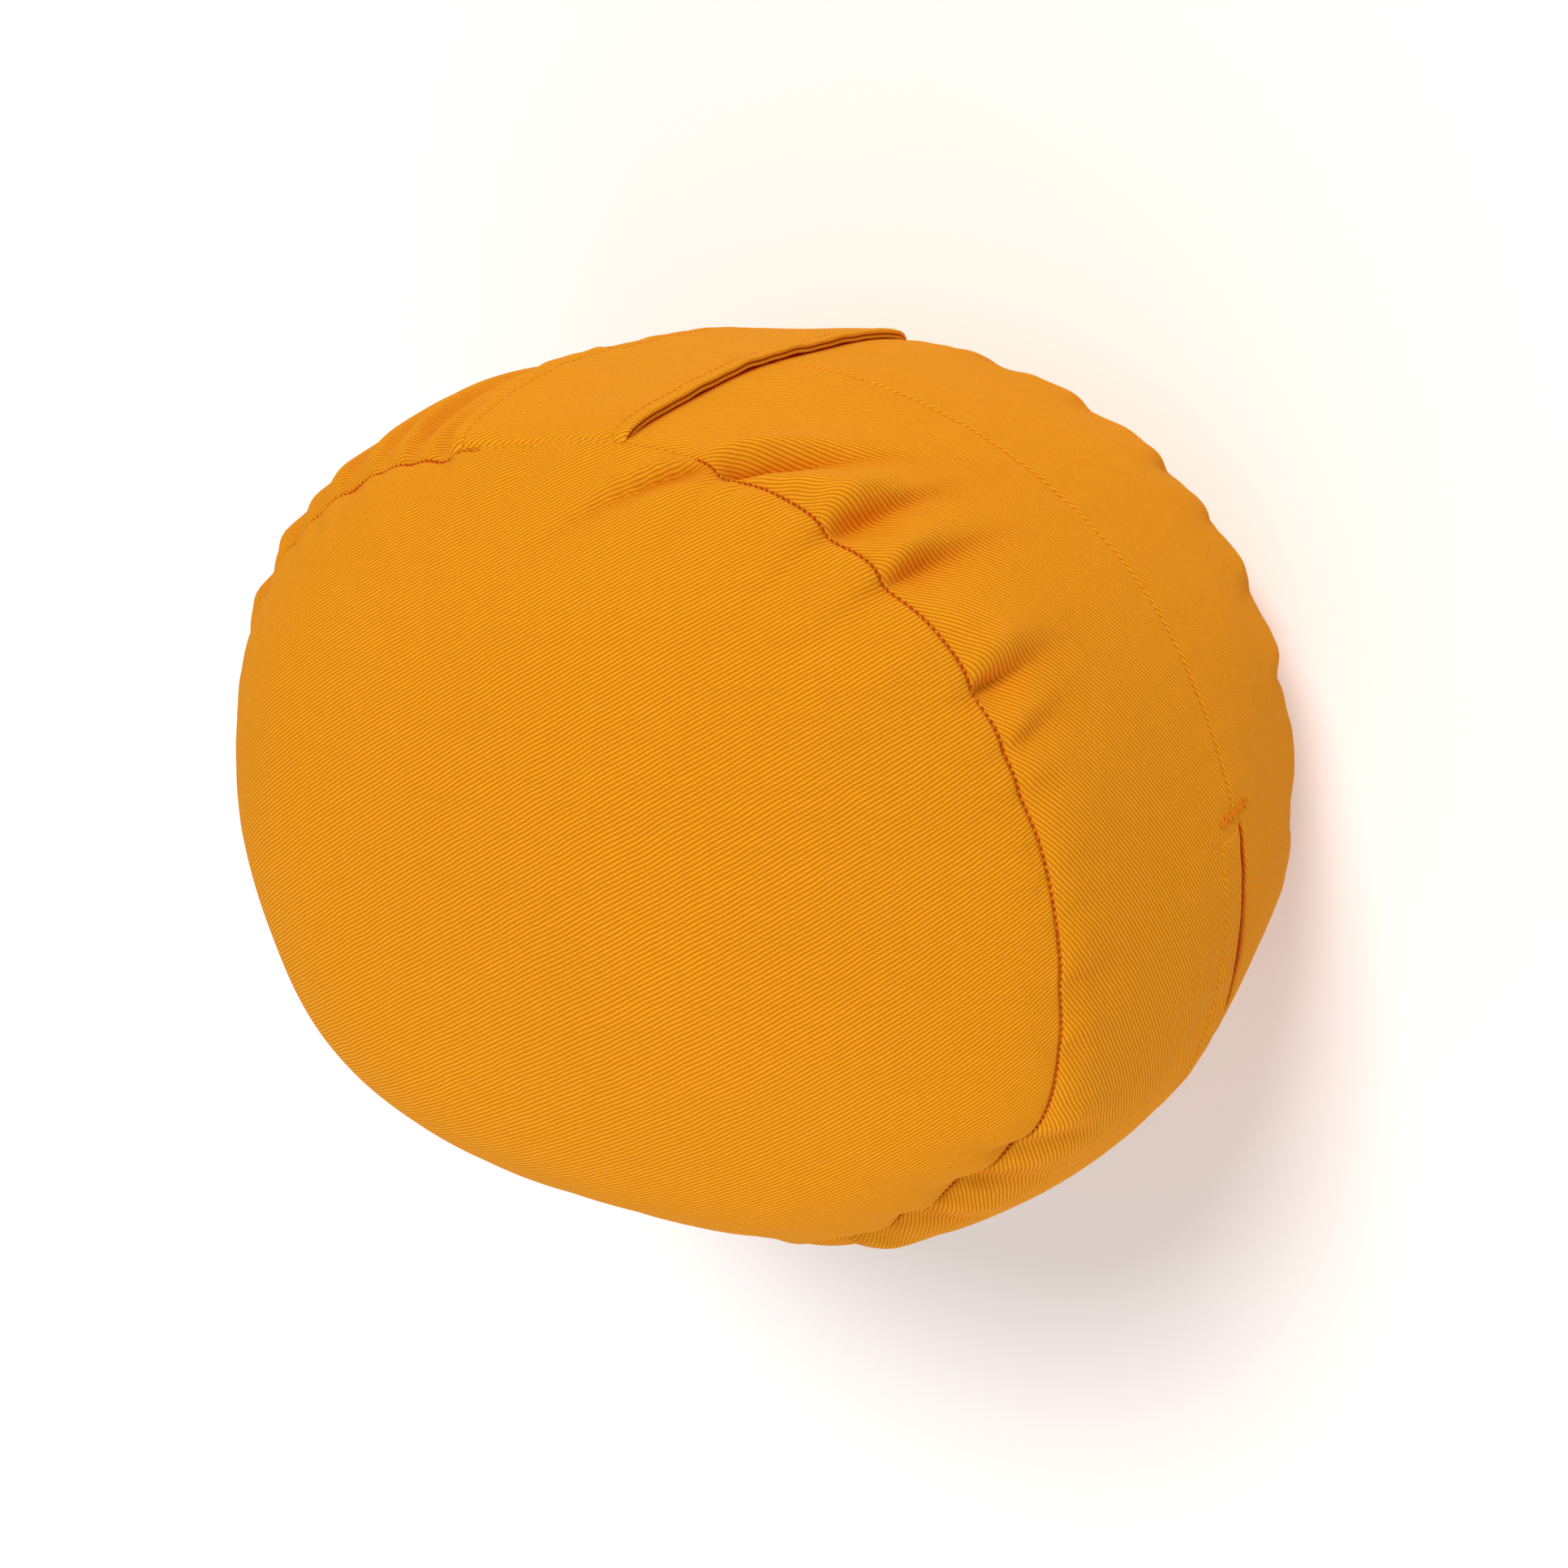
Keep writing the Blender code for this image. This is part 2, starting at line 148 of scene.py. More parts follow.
# The handle presses the band in, and the front seam is drawn in at two places: angle, millimetres
# and half width in degrees.
STRAP_PRESS = 0.42
STRAP_PRESS_TURN = np.radians(17.0)
SEAM_DRAWS = ((99.0, 3.2, 19.0), (-39.0, 4.5, 11.0))
SEAM_DRAW_FADE = 22.0 * MM

# Fine relief of the cover. A window is its two ends and how fast it passes each, a hump its height,
# place and width, and puckers their depth, reach from the seam, stretch up the band and seed.
SEAM_VALLEY_DEPTH = 0.6 * MM
SEAM_VALLEY_WIDTH = 0.36 * MM
# SEAM_SHADE_WIDTH is the width of the painted shade along the seams' valleys.
SEAM_SHADE_WIDTH = 0.20 * MM
SEAM_HIDDEN_START = np.radians(66.5)
SEAM_HIDDEN_END = np.radians(100.0)
SEAM_HIDDEN_WINDOW = (SEAM_HIDDEN_START, SEAM_HIDDEN_END, 120.0, 120.0)
MID_SEAM_DEPTH = 0.45 * MM
MID_SEAM_WIDTH = 0.6 * MM
ZIP_GAP_DEPTH = 1.5 * MM
ZIP_GAP_WIDTH = 3.0 * MM
ZIP_GAP_HEIGHT = -4.0 * MM
ZIP_GAP_WIDEST = np.radians(-17.0)
ZIP_GAP_HALF_TURN = np.radians(8.0)
ZIP_GAP_LEAST = 0.35
# Painted shade in the zip's slit: how strongly its mask turns into shade, and where that starts.
ZIP_SHADE_GAIN = 2.2
ZIP_SHADE_START = 0.2
PUCKER_LENGTH = 9.0 * MM
SEAM_PUCKERS = (0.30 * MM, 6.0 * MM, 0.15, 5)
MIDDLE_PUCKERS = (0.18 * MM, 3.0 * MM, 0.1, 8)
UNEVEN_DEPTH = 0.6 * MM
UNEVEN_LENGTH = 60.0 * MM
UNEVEN_FROM_SEAM = 15.0 * MM
UNEVEN_FROM_FLOOR = 12.0 * MM

# Handle: a strap of two layers, folded at both edges. A ripple is its height, its turns along and
# across the strap and its phase.
STRAP_ANGLE = np.radians(91.0)
STRAP_WIDTH = 62.0 * MM
STRAP_LAYER = 1.3 * MM
STRAP_THICKNESS = 2.0 * STRAP_LAYER
STRAP_SEAT_GAP = 0.10 * MM
STRAP_SLACK = 0.5 * MM
STRAP_END = 0.996
STRAP_BURIED = 3.5 * MM
STRAP_END_SINK = 1.0 * MM
STRAP_END_SPREAD = 2.0 * MM
STRAP_LAP = 2.3 * MM
STRAP_LAP_SPREAD = 8.0 * MM
STRAP_LAP_ON_BAND = 1.6 * MM
STRAP_LAP_BESIDE = 4.0 * MM
STRAP_ROUND = 0.44 * STRAP_LAYER
STRAP_LAP_WINDOW = (np.radians(76.0), np.radians(104.3), 22.0, 60.0)
# The band under the strap's edges, and the strap between its layers and along its underside, get painted
# shade.
STRAP_SHADE_START = 2.0 * MM
STRAP_SHADE_PAST = 0.6 * MM
STRAP_SHADE_BLUR = 0.35 * MM
STRAP_FOLD_DEPTH = 0.8 * MM
STRAP_STITCH_INSET = 5.0 * MM
STRAP_STITCH_SINK = 0.40 * MM
STRAP_STITCH_DENT = (0.50 * MM, STRAP_STITCH_INSET, 1.0 * MM)
STRAP_EDGE_SWELL = (0.22 * MM, 2.4 * MM, 1.8 * MM)
STRAP_GAP_SHADE = (1.0, STRAP_LAYER, 0.30 * MM)
STRAP_UNDER_SHADE = (0.7, 0.0, 0.25 * MM)
STRAP_RIPPLES = ((0.16 * MM, 19.0, 60.0, 0.0), (0.12 * MM, 37.0, 0.0, 1.3))
STRAP_HALF_TURN = np.radians(14.0)
STRAP_ROWS = 141
STRAP_POINTS_ACROSS = 46

# Zip flap: the strip folded along the middle of the band. It sinks by a depth, starting before its
# stitching and over a spread.
ZIP_START = np.radians(-2.0)
ZIP_END = np.radians(-92.0)
ZIP_WINDOW = (ZIP_END, ZIP_START, 150.0, 150.0)
FLAP_FOLD_HEIGHT = -0.2 * MM
FLAP_TOP_HEIGHT = 14.0 * MM
FLAP_THICKNESS = 0.6 * MM
FLAP_THINNING = 0.35 * MM
FLAP_UNDERSIDE = -0.1 * MM
FLAP_SINK = (1.3 * MM, 0.8 * MM, 3.6 * MM)
FLAP_RISE = (0.5 * MM, ZIP_GAP_WIDEST, ZIP_GAP_HALF_TURN)
FLAP_OPEN_EDGE = (1.0, FLAP_FOLD_HEIGHT, 4.0 * MM)
FLAP_END_POWER = 0.2
FLAP_RIPPLES = ((0.12 * MM, 17.0, 0.0), (0.08 * MM, 31.0, 0.7))
FLAP_ROWS = 221
FLAP_SEAT_GAP = 0.05 * MM
FLAP_STITCH_HEIGHT = 10.5 * MM
FLAP_STITCH_DENT = (0.25 * MM, FLAP_STITCH_HEIGHT, 0.8 * MM)
FLAP_STITCH_SINK = 0.72 * MM

# Stitches: the step from one to the next, their length, and the thread's radius and rise. Those of a
# bar-tack have the last two only.
SEAM_STITCH = (2.0 * MM, 1.0 * MM, 0.27 * MM, 0.16 * MM)
MIDDLE_STITCH = (2.4 * MM, 1.3 * MM, 0.14 * MM, 0.10 * MM)
FLAP_STITCH = (2.7 * MM, 2.1 * MM, 0.18 * MM, 0.15 * MM)
STRAP_STITCH = (2.9 * MM, 2.2 * MM, 0.23 * MM, 0.18 * MM)
SEAM_STITCH_IN = 0.25 * MM
SEAM_STITCH_OUT = 0.45 * MM
SEAM_STITCH_SINK = 0.20 * MM
MIDDLE_STITCH_SINK = 0.35 * MM
SEAM_STITCH_ACROSS = 0.9992
THREAD_SIDES = 6
THREAD_RINGS = 6
THREAD_TAPER = 2.2
THREAD_TIP = 0.25
TACK_STITCHES = 46
TACK_STITCH = (0.17 * MM, 0.22 * MM)
TACK_LIFT = 0.18 * MM
TACK_HEIGHTS = (-10.8 * MM, 8.7 * MM)
TACK_PAST_ZIP = 0.03
TACK_BAND_RADIUS = 0.165
TACK_REACH = (0.5, 1.5)

# Cover mesh: distances between rows, close beside the seams and wider away from them.
SEGMENTS = 648
REST_ROWS = 5
FINE_ROW = 0.26 * MM
COARSE_ROW = 3.6 * MM
FACE_ROW = 6.0 * MM
ROW_SPREAD = 12.0 * MM

# Twill: a three-up, one-down weave whose ribs rise at about 29 degrees to the warp.
END_PITCH = 0.333 * MM
PICK_PITCH = 0.61 * MM
PANEL_WARP_TURN = np.radians(1.0)
BAND_WARP_TURN = 0.0
WAVER_SCALE = 70.0
WAVER_REACH = 1.2 * MM
FLOAT_SHARE = 0.78
HUMP_POWER = 0.6
HUMP_HEIGHT = (0.75, 0.25)
RELIEF_DEPTH = 0.22 * MM
RELIEF_STRENGTH = 0.9

# Tones of the weave: a spread alone, or a spread and the least value.
BROAD_SCALE = 18.0
FLOAT_TONE = 0.14
END_TONE = (0.08, 0.86)
BROAD_TONE = (0.16, 0.92)
LIGHT_SHARE = (0.88, 0.07)

# Colours and surfaces, and how far the seams take their red. The crease, seam and gap colours are painted
# shade:
# darker, redder cloth in the folds, the seams' valleys, the zip's slit and at the strap's gaps, where
# shadow falls.
PAINTED_SEAM_SHADE_SHARE = 0.6
CLOTH_LIGHT = (0.87, 0.365, 0.012)
CLOTH_DEEP = (0.50, 0.125, 0.001)
CREASE_PAINTED_SHADE = (0.84, 0.46, 0.20)
PAINTED_SEAM_SHADE = (0.52, 0.045, 0.004)
PAINTED_GAP_SHADE = (0.40, 0.026, 0.002)
CLOTH_SURFACE = {"Roughness": 0.88, "Specular IOR Level": 0.04, "Sheen Weight": 0.06,
                 "Sheen Roughness": 0.45, "Sheen Tint": (1.0, 0.60, 0.12)}
THREAD_COLOUR = (0.80, 0.265, 0.010)
# The seam stitches are dark red, partly the thread's own colour and partly painted shade of the gaps
# between them.
SEAM_THREAD_AND_SHADE_COLOUR = (0.52, 0.060, 0.004)
TACK_COLOUR = (0.76, 0.210, 0.002)
THREAD_SURFACE = {"Roughness": 0.6, "Specular IOR Level": 0.04}
THREAD_TWIST_SCALE = 900.0
THREAD_DARK_SHARE = 0.6

# Lights: turn round from +X and lift from the floor in degrees, strength and softness.
KEY_LIGHT = (83.0, 42.0, 2.58, 22.0)
FILL_LIGHT = (-85.0, 30.0, 2.10, 60.0)
WORLD_STRENGTH = 0.44
FLOOR_HALF = 4.0
FLOOR_SURFACE = {"Base Color": (0.87, 0.82, 0.795), "Roughness": 0.9}


def bell(value):
    """A round hump: e to the minus value squared."""
    return np.exp(-value ** 2)


def hump(value, height, place, width):
    """A round hump of a height, at a place and with a half width."""
    return height * bell((value - place) / width)


def wrap(angle):
    """The angle brought between minus and plus half a turn."""
    return (angle + np.pi) % (2.0 * np.pi) - np.pi


def by_handle(angle, half_turn):
    """A round hump in angle over the handle."""
    return bell(wrap(angle - STRAP_ANGLE) / half_turn)


def window(angle, start, stop, start_sharpness, stop_sharpness):
    """One between two angles and nought outside them, with soft edges."""
    before, after = (start - angle) * start_sharpness, (angle - stop) * stop_sharpness
    return 1.0 / (1.0 + np.exp(before) + np.exp(after))


def seam_radius(angle):
    """Distance of the panel seams from their centre: a superellipse times one plus soft lobes."""
    across, upward = np.cos(angle) / SEAM_HALF_WIDTH, np.sin(angle) / SEAM_HALF_HEIGHT
    power = SEAM_SQUARENESS
    oval = (np.abs(across) ** power + np.abs(upward) ** power) ** (-1.0 / power)
    lobes = THREE_LOBES_ACROSS * np.cos(3.0 * angle) + THREE_LOBES_UP * np.sin(3.0 * angle)
    return oval * (1.0 + lobes + TWO_LOBES * np.sin(2.0 * angle))


def front_seam_rise(angle):
    """Height of the front seam over the middle of the band: a level plus waves of one and two turns."""
    saddle = SEAM_TILT_SADDLE * np.cos(2.0 * angle) + SEAM_TILT_SKEW * np.sin(2.0 * angle)
    return BAND_HALF_HEIGHT + saddle + SEAM_TILT_UP * np.sin(angle)


def degrees_from(angle, middle):
    """Degrees round from a middle, given in degrees, to an angle."""
    return np.degrees(wrap(angle - np.radians(middle)))


def seam_draw(angle, distance):
    """How far the front seam is drawn in: a bell in angle for each place, fading from the seam."""
    fade = np.exp(-distance / SEAM_DRAW_FADE)
    return sum(draw * MM * bell(degrees_from(angle, middle) / half_width) * fade
               for middle, draw, half_width in SEAM_DRAWS)


def skewed(place):
    """A place across a fold, spread on one side: place * (1 + skew * tanh(2 place))."""
    return place * (1.0 + PLEAT_SKEW * np.tanh(2.0 * place))


def each_pleat(angle, distance, table):
    """Every pleat's depth, with each point's share of its reach and each point's place across it."""
    for middle, depth, half_width, reach, lean, *_ in table:
        share = distance / (reach * MM)
        width = half_width * (PLEAT_NARROW + PLEAT_WIDEN * np.minimum(share, PLEAT_WIDEN_LIMIT))
        yield depth, share, skewed(degrees_from(angle, middle + lean * share) / width)


def pleats(angle, distance, table):
    """Push of the pleats into the cloth at a distance from their seam.

    A pleat crosses as a pointed valley, e^(1 - sqrt(1 + (sharpness place)^2)), less a low bell on both
    sides. It runs as along * e^(1 - along), along being the distance over the pleat's peak.
    """
    push = 0.0
    for depth, share, place in each_pleat(angle, distance, table):
        valley = np.exp(1.0 - np.sqrt(1.0 + (PLEAT_SHARPNESS * place) ** 2))
        ridges = bell((place - RIDGE_OFFSET) / RIDGE_WIDTH) + bell((place + RIDGE_OFFSET) / RIDGE_WIDTH)
        along = share / PLEAT_PEAK_SHARE
        push = push + depth * MM * along * np.exp(1.0 - along) * (valley - RIDGE_SHARE * ridges)
    return push


def painted_fold_shade(angle, distance, table):
    """Painted shade from 0 to 1 on the steep slope of each pleat, where its shadow falls, running as its
    depth does.
    """
    shade = 0.0
    for depth, share, place in each_pleat(angle, distance, table):
        along = share / (FOLD_SHADE_REACH * PLEAT_PEAK_SHARE)
        strength = depth / FULL_SHADE_DEPTH * along * np.exp(1.0 - along)
        shade = np.maximum(shade, strength * bell((place - FOLD_SHADE_OFFSET) / FOLD_SHADE_WIDTH))
    return np.clip(shade, 0.0, 1.0)


def notches(angle, distance, table):
    """How far a seam is pulled in at its pleats, less its mean, fading away from the seam."""
    total = 0.0
    for middle, _, half_width, _, _, notch in table:
        place = skewed(degrees_from(angle, middle) / (NOTCH_WIDTH_SHARE * half_width))
        total = total + notch * MM * np.exp(1.0 - np.sqrt(1.0 + place ** 2))
    clear = 1.0 - by_handle(angle, STRAP_HALF_TURN)
    return (total - NOTCH_BASE * clear) * np.exp(-distance / NOTCH_FADE)


def columns(*values):
    """Values of one or more shapes side by side along a new last axis."""
    return np.stack(np.broadcast_arrays(*values), axis=-1)


def place_round(angle, radius, height):
    """The point at an angle and a radius from the seams' centre, at a height over the floor."""
    east = SEAM_CENTRE_X + radius * np.cos(angle)
    north = SEAM_CENTRE_Y + radius * np.sin(angle)
    return columns(east, north, height)


def band_point(angle, across):
    """Point of the band, across from -1 on the back seam to 1 on the front seam.

    Its radius is the seam's plus the swell times (1 - across^2)^shape, less pleats and notches.
    """
    swell = BAND_SWELL * (1.0 + SWELL_UP * np.sin(angle) + SWELL_ACROSS * np.cos(angle))
    swell = swell * (1.0 - STRAP_PRESS * by_handle(angle, STRAP_PRESS_TURN))
    rise = np.where(across >= 0.0, front_seam_rise(angle), BAND_HALF_HEIGHT)
    distance = (1.0 - np.abs(across)) * rise
    push, pull = (np.where(across >= 0.0, shape(angle, distance, FRONT_PLEATS),
                           shape(angle, distance, BACK_PLEATS)) for shape in (pleats, notches))
    draw = np.where(across >= 0.0, seam_draw(angle, distance), 0.0)
    radius = seam_radius(angle) + swell * (1.0 - across ** 2) ** SWELL_SHAPE - push - pull - draw
    height = MID_HEIGHT + across * rise - np.sign(across) * NOTCH_DIP_SHARE * pull + draw
    return place_round(angle, radius, height)


def front_panel_point(angle, share):
    """Point of the front panel, share from 1 on the seam to 0 in the middle.

    Its height is the seam's plus crown * (1 - share^flatness)^shoulder, fuller towards one end.
    """
    radius = seam_radius(angle) * share
    distance = (1.0 - share) * seam_radius(angle)
    pull = notches(angle, distance, FRONT_PLEATS)
    draw = seam_draw(angle, distance) * share
    fuller = 1.0 - CROWN_SAG * radius * np.sin(angle) / SEAM_HALF_HEIGHT
    fuller = fuller + CROWN_SAG_ACROSS * radius * np.cos(angle) / SEAM_HALF_WIDTH
    crown = CROWN * (1.0 - share ** CROWN_FLATNESS) ** CROWN_SHOULDER * fuller
    edge = BAND_HALF_HEIGHT + (front_seam_rise(angle) - BAND_HALF_HEIGHT) * share ** 2
    height = MID_HEIGHT + edge + crown - NOTCH_DIP_SHARE * pull + draw
    return place_round(angle, radius - pull * share - draw, height)


def back_panel_point(angle, turn):
    """Point of the back shoulder, turn from 0 at the resting face to 1 on the seam.

    Radius follows the sine and height one minus the cosine of the turned angle.
    """
    pull = notches(angle, 0.0, BACK_PLEATS) * turn ** 2
    sweep = np.sin(BACK_SHOULDER_TURN * turn) / np.sin(BACK_SHOULDER_TURN)
    lift = (1.0 - np.cos(BACK_SHOULDER_TURN * turn)) / (1.0 - np.cos(BACK_SHOULDER_TURN))
    radius = seam_radius(angle) * (REST_SHARE + (1.0 - REST_SHARE) * sweep)
    return place_round(angle, radius - pull, BACK_DEPTH * lift + NOTCH_DIP_SHARE * pull)


def unit(vectors):
    """The vectors brought to length one."""
    return vectors / np.maximum(np.linalg.norm(vectors, axis=-1, keepdims=True), 1e-12)


def soft_waves(points, length, seed, count=14):
    """Even, soft unevenness of about plus and minus one: a sum of plane waves in fixed directions."""
    random = np.random.default_rng(seed)
    directions = unit(random.normal(size=(count, 3)))
    lengths = length * random.uniform(0.7, 1.6, count)
    phases = random.uniform(0.0, 2.0 * np.pi, count)
    turns = points @ (directions / lengths[:, None]).T * 2.0 * np.pi + phases
    return np.sin(turns).sum(axis=-1) / np.sqrt(count)


def steps_between(points):
    """Distances from every row of points to the next."""
    return np.linalg.norm(np.diff(points, axis=0), axis=-1)


def travelled(points):
    """Distance along a line of points from its first."""
    return np.append(0.0, np.cumsum(steps_between(points)))


def ring_quads(count, size):
    """The faces between neighbours of a number of rings, as corner numbers by ring and place."""
    row, column = np.meshgrid(np.arange(count - 1), np.arange(size), indexing="ij")
    after = (column + 1) % size
    low, high = row * size, (row + 1) * size
    return columns(low + column, low + after, high + after, high + column)


def close_rows(surface, start, stop, features, coarse):
    """Row values from start to stop: a fine step at each feature's value, growing to the coarse one.

    The step is fine + (coarse - fine) * (1 - e^(-distance / spread)), measured along the surface.
    """
    run = np.linspace(0.0, 1.0, 3000)
    values = start + (stop - start) * (3.0 * run ** 2 - 2.0 * run ** 3)
    angle = np.linspace(0.0, 2.0 * np.pi, 12, endpoint=False)
    points = surface(angle[None, :], values[:, None])
    steps = steps_between(points).mean(axis=1)
    run = np.append(0.0, np.cumsum(steps))
    places = [run[np.abs(values - feature).argmin()] for feature in features]
    nearest = np.min([np.abs(run - place) for place in places], axis=0)
    step = FINE_ROW + (coarse - FINE_ROW) * (1.0 - np.exp(-nearest / ROW_SPREAD))
    count = np.append(0.0, np.cumsum(steps * 2.0 / (step[1:] + step[:-1])))
    return np.interp(np.linspace(0.0, count[-1], int(count[-1]) + 1), count, values)


def grid_normals(points):
    """Outward unit normals of a closed stack of rings, from its neighbours along and around."""
    around = np.roll(points, -1, axis=1) - np.roll(points, 1, axis=1)
    along = np.gradient(points, axis=0)
    return unit(np.cross(around, along))


class Cover:
    """The cushion's cover as one grid of rings, from the middle of the back to the front's crown."""

    def __init__(self):
        self.angle = STRAP_ANGLE + np.linspace(0.0, 2.0 * np.pi, SEGMENTS, endpoint=False)
        angle = self.angle[None, :]
        rest = np.linspace(0.0, REST_SHARE, REST_ROWS + 2)[1:-1, None]
        turn = close_rows(back_panel_point, 0.0, 1.0, (1.0,), COARSE_ROW)[:, None]
        middle = (-1.0, ZIP_GAP_HEIGHT / BAND_HALF_HEIGHT, 0.0, 1.0)
        self.across = close_rows(band_point, -1.0, 1.0, middle, COARSE_ROW)
        share = close_rows(front_panel_point, 1.0, 0.0, (1.0,), FACE_ROW)[1:-1, None]
        resting = place_round(angle, seam_radius(angle) * rest, 0.0)
        self.band_start = REST_ROWS + len(turn) - 1
        self.band_end = self.band_start + len(self.across) - 1
        self.cloth = np.concatenate([
            resting, back_panel_point(angle, turn)[:-1], band_point(angle, self.across[:, None]),
            front_panel_point(angle, share)])
        self.relief()

    def from_row(self, row):
        """Distance along the cloth of every point from one ring."""
        run = np.cumsum(steps_between(self.cloth), axis=0)
        run = np.concatenate([np.zeros((1, SEGMENTS)), run])
        return run - run[row]

    def relief(self):
        """Fine shape along the normals, in three layers: under_strap, which the strap lies on, cloth,
        with the panel's edge laid over the strap, and points, with the seams and the zip's slit cut in.
        """
        from_back = self.from_row(self.band_start)
        from_front = self.from_row(self.band_end)
        self.from_seam = np.minimum(np.abs(from_back), np.abs(from_front))
        near_front = np.abs(from_front) < np.abs(from_back)
        in_band = (from_back > 0.0) & (from_front < 0.0)
        height = self.cloth[..., 2] - MID_HEIGHT
        angle = wrap(self.angle)[None, :]
        beside = np.abs(wrap(angle - STRAP_ANGLE)) * seam_radius(STRAP_ANGLE) - STRAP_WIDTH / 2.0
        creases = np.where(from_front > 0.0, pleats(angle, np.maximum(from_front, 0.0), FACE_CREASES), 0.0)
        # Painted shade: darker, redder cloth on the pleats' steep slopes and in the face's creases, where
        # their shadow falls, fainter round 120 degrees.
        folds = np.where(near_front, painted_fold_shade(angle, np.abs(from_front), FRONT_PLEATS),
                         painted_fold_shade(angle, np.abs(from_back), BACK_PLEATS))
        folds = folds * in_band + creases / CREASE_SHADE_DEPTH
        pale = PALE_FOLDS_LOSS * bell((angle - PALE_FOLDS_ANGLE) / PALE_FOLDS_HALF_TURN)
        self.painted_crease_shade = np.clip(folds * (1.0 - pale), 0.0, 1.0)
        outward = grid_normals(self.cloth)
        push = self.unevenness(angle, height, in_band) - creases
        self.under_strap = self.cloth + outward * push[..., None]
        self.under_normals = grid_normals(self.under_strap)
        self.cloth = self.under_strap + outward * self.lap(angle, from_front, beside)[..., None]
        self.cloth_normals = grid_normals(self.cloth)
        in_zip = window(angle, *ZIP_WINDOW)
        widest = bell((angle - ZIP_GAP_WIDEST) / ZIP_GAP_HALF_TURN)
        open_share = ZIP_GAP_LEAST + (1.0 - ZIP_GAP_LEAST) * widest
        # Painted shade: dark red in the zip's slit, and on the band under the strap's edges, where they
        # lie in shadow.
        gap = in_band * in_zip * bell((height - ZIP_GAP_HEIGHT) / (ZIP_GAP_WIDTH * open_share))
        under_strap = 0.5 - 0.5 * np.tanh((beside - STRAP_SHADE_PAST) / (2.0 * STRAP_SHADE_BLUR))
        strap_shade = (self.from_seam > STRAP_SHADE_START) * in_band * under_strap
        slit_shade = np.clip(ZIP_SHADE_GAIN * gap - ZIP_SHADE_START, 0.0, 1.0)
        self.painted_gap_shade = np.maximum(slit_shade, strap_shade)
        shown = 1.0 - near_front * window(angle, *SEAM_HIDDEN_WINDOW)
        # Painted shade: dark red along the seams' valleys, except where the panel laps over the strap.
        self.painted_seam_shade = shown * bell(self.from_seam / SEAM_SHADE_WIDTH)
        valley = SEAM_VALLEY_DEPTH * shown * bell(self.from_seam / SEAM_VALLEY_WIDTH)
        middle = in_band * MID_SEAM_DEPTH * bell(height / MID_SEAM_WIDTH) * (1.0 - in_zip)
        cut = valley + middle + ZIP_GAP_DEPTH * gap
        self.points = self.cloth - self.cloth_normals * cut[..., None]

    def unevenness(self, angle, height, in_band):
        """Soft swells all over, and puckers beside the seams, flat on the floor and under the strap."""
        puckers = self.puckers(self.from_seam, *SEAM_PUCKERS)
        puckers = puckers + self.puckers(np.abs(height), *MIDDLE_PUCKERS) * in_band
        swells = UNEVEN_DEPTH * soft_waves(self.cloth, UNEVEN_LENGTH, seed=2)
        swells = swells * np.clip(self.from_seam / UNEVEN_FROM_SEAM, 0.0, 1.0)
        open_air = 1.0 - by_handle(angle, STRAP_HALF_TURN) * in_band
        off_floor = np.clip(self.cloth[..., 2] / UNEVEN_FROM_FLOOR, 0.0, 1.0)
        return off_floor * open_air * (swells + puckers)

    def puckers(self, distance, depth, reach, stretch, seed):
        """Short waves beside a seam, running as near * e^(1 - near) over the distance from it."""
        near = distance / reach
        waves = soft_waves(self.cloth * (1.0, 1.0, stretch), PUCKER_LENGTH, seed)
        return depth * waves * near * np.exp(1.0 - near)

    def lap(self, angle, from_front, beside):
        """How far the cloth stands up where the panel's edge laps over the strap, and beside it."""
        lapped = window(angle, *STRAP_LAP_WINDOW)
        on_panel = np.exp(-np.abs(from_front) / STRAP_LAP_SPREAD)
        beside_strap = np.exp(-np.abs(from_front) / STRAP_LAP_BESIDE)
        on_strap = np.exp(-(from_front / STRAP_LAP_ON_BAND) ** 4)
        on_band = np.where(beside < 0.0, on_strap, beside_strap)
        return STRAP_LAP * lapped * np.where(from_front >= 0.0, on_panel, on_band)

    def at(self, angle, across, lapped=True):
        """Point and normal of the cloth, or of what the strap lies on, at a place on the band."""
        column = ((angle - STRAP_ANGLE) % (2.0 * np.pi)) / (2.0 * np.pi) * SEGMENTS
        row = self.band_start + np.interp(across, self.across, np.arange(len(self.across)))
        column, row = np.broadcast_arrays(column, row)
        left, low = np.floor(column).astype(int), np.floor(row).astype(int)
        low = np.minimum(low, len(self.cloth) - 2)
        along, up = (column - left)[..., None], (row - low)[..., None]
        left = left % SEGMENTS
        right = (left + 1) % SEGMENTS
        grids = (self.cloth, self.cloth_normals) if lapped else (self.under_strap, self.under_normals)

        def between(grid):
            lower, upper = (grid[row, left] * (1.0 - along) + grid[row, right] * along
                            for row in (low, low + 1))
            return lower * (1.0 - up) + upper * up
        return between(grids[0]), unit(between(grids[1]))

    def on_band(self, angle, height):
        """Point and normal of the cloth at an angle and a height over the band's middle line."""
        rise = np.where(height >= 0.0, front_seam_rise(angle), BAND_HALF_HEIGHT)
        return self.at(angle, height / rise)

    def flat_places(self):
        """Where each grid point lay on the cut cloth, as part of the back panel, band and front panel.

        On a panel it is the way from its middle, and on the band the ways along and from its middle line.
        """
        direction = np.append(self.angle, self.angle[0])
        heading = columns(np.cos(direction), np.sin(direction))
        centre = (SEAM_CENTRE_X, SEAM_CENTRE_Y)
        first, last = (np.linalg.norm(self.cloth[row, :, :2] - centre, axis=-1) for row in (0, -1))
        middle_row = (self.band_start + self.band_end) // 2
        places = (self.from_row(0) + first, last - self.from_row(-1), self.from_row(middle_row))
        back, front, band = (np.concatenate([grid, grid[:, :1]], axis=1) for grid in places)
        round_it = closed_length(self.points[middle_row])
        return back[..., None] * heading, columns(round_it, band), front[..., None] * heading

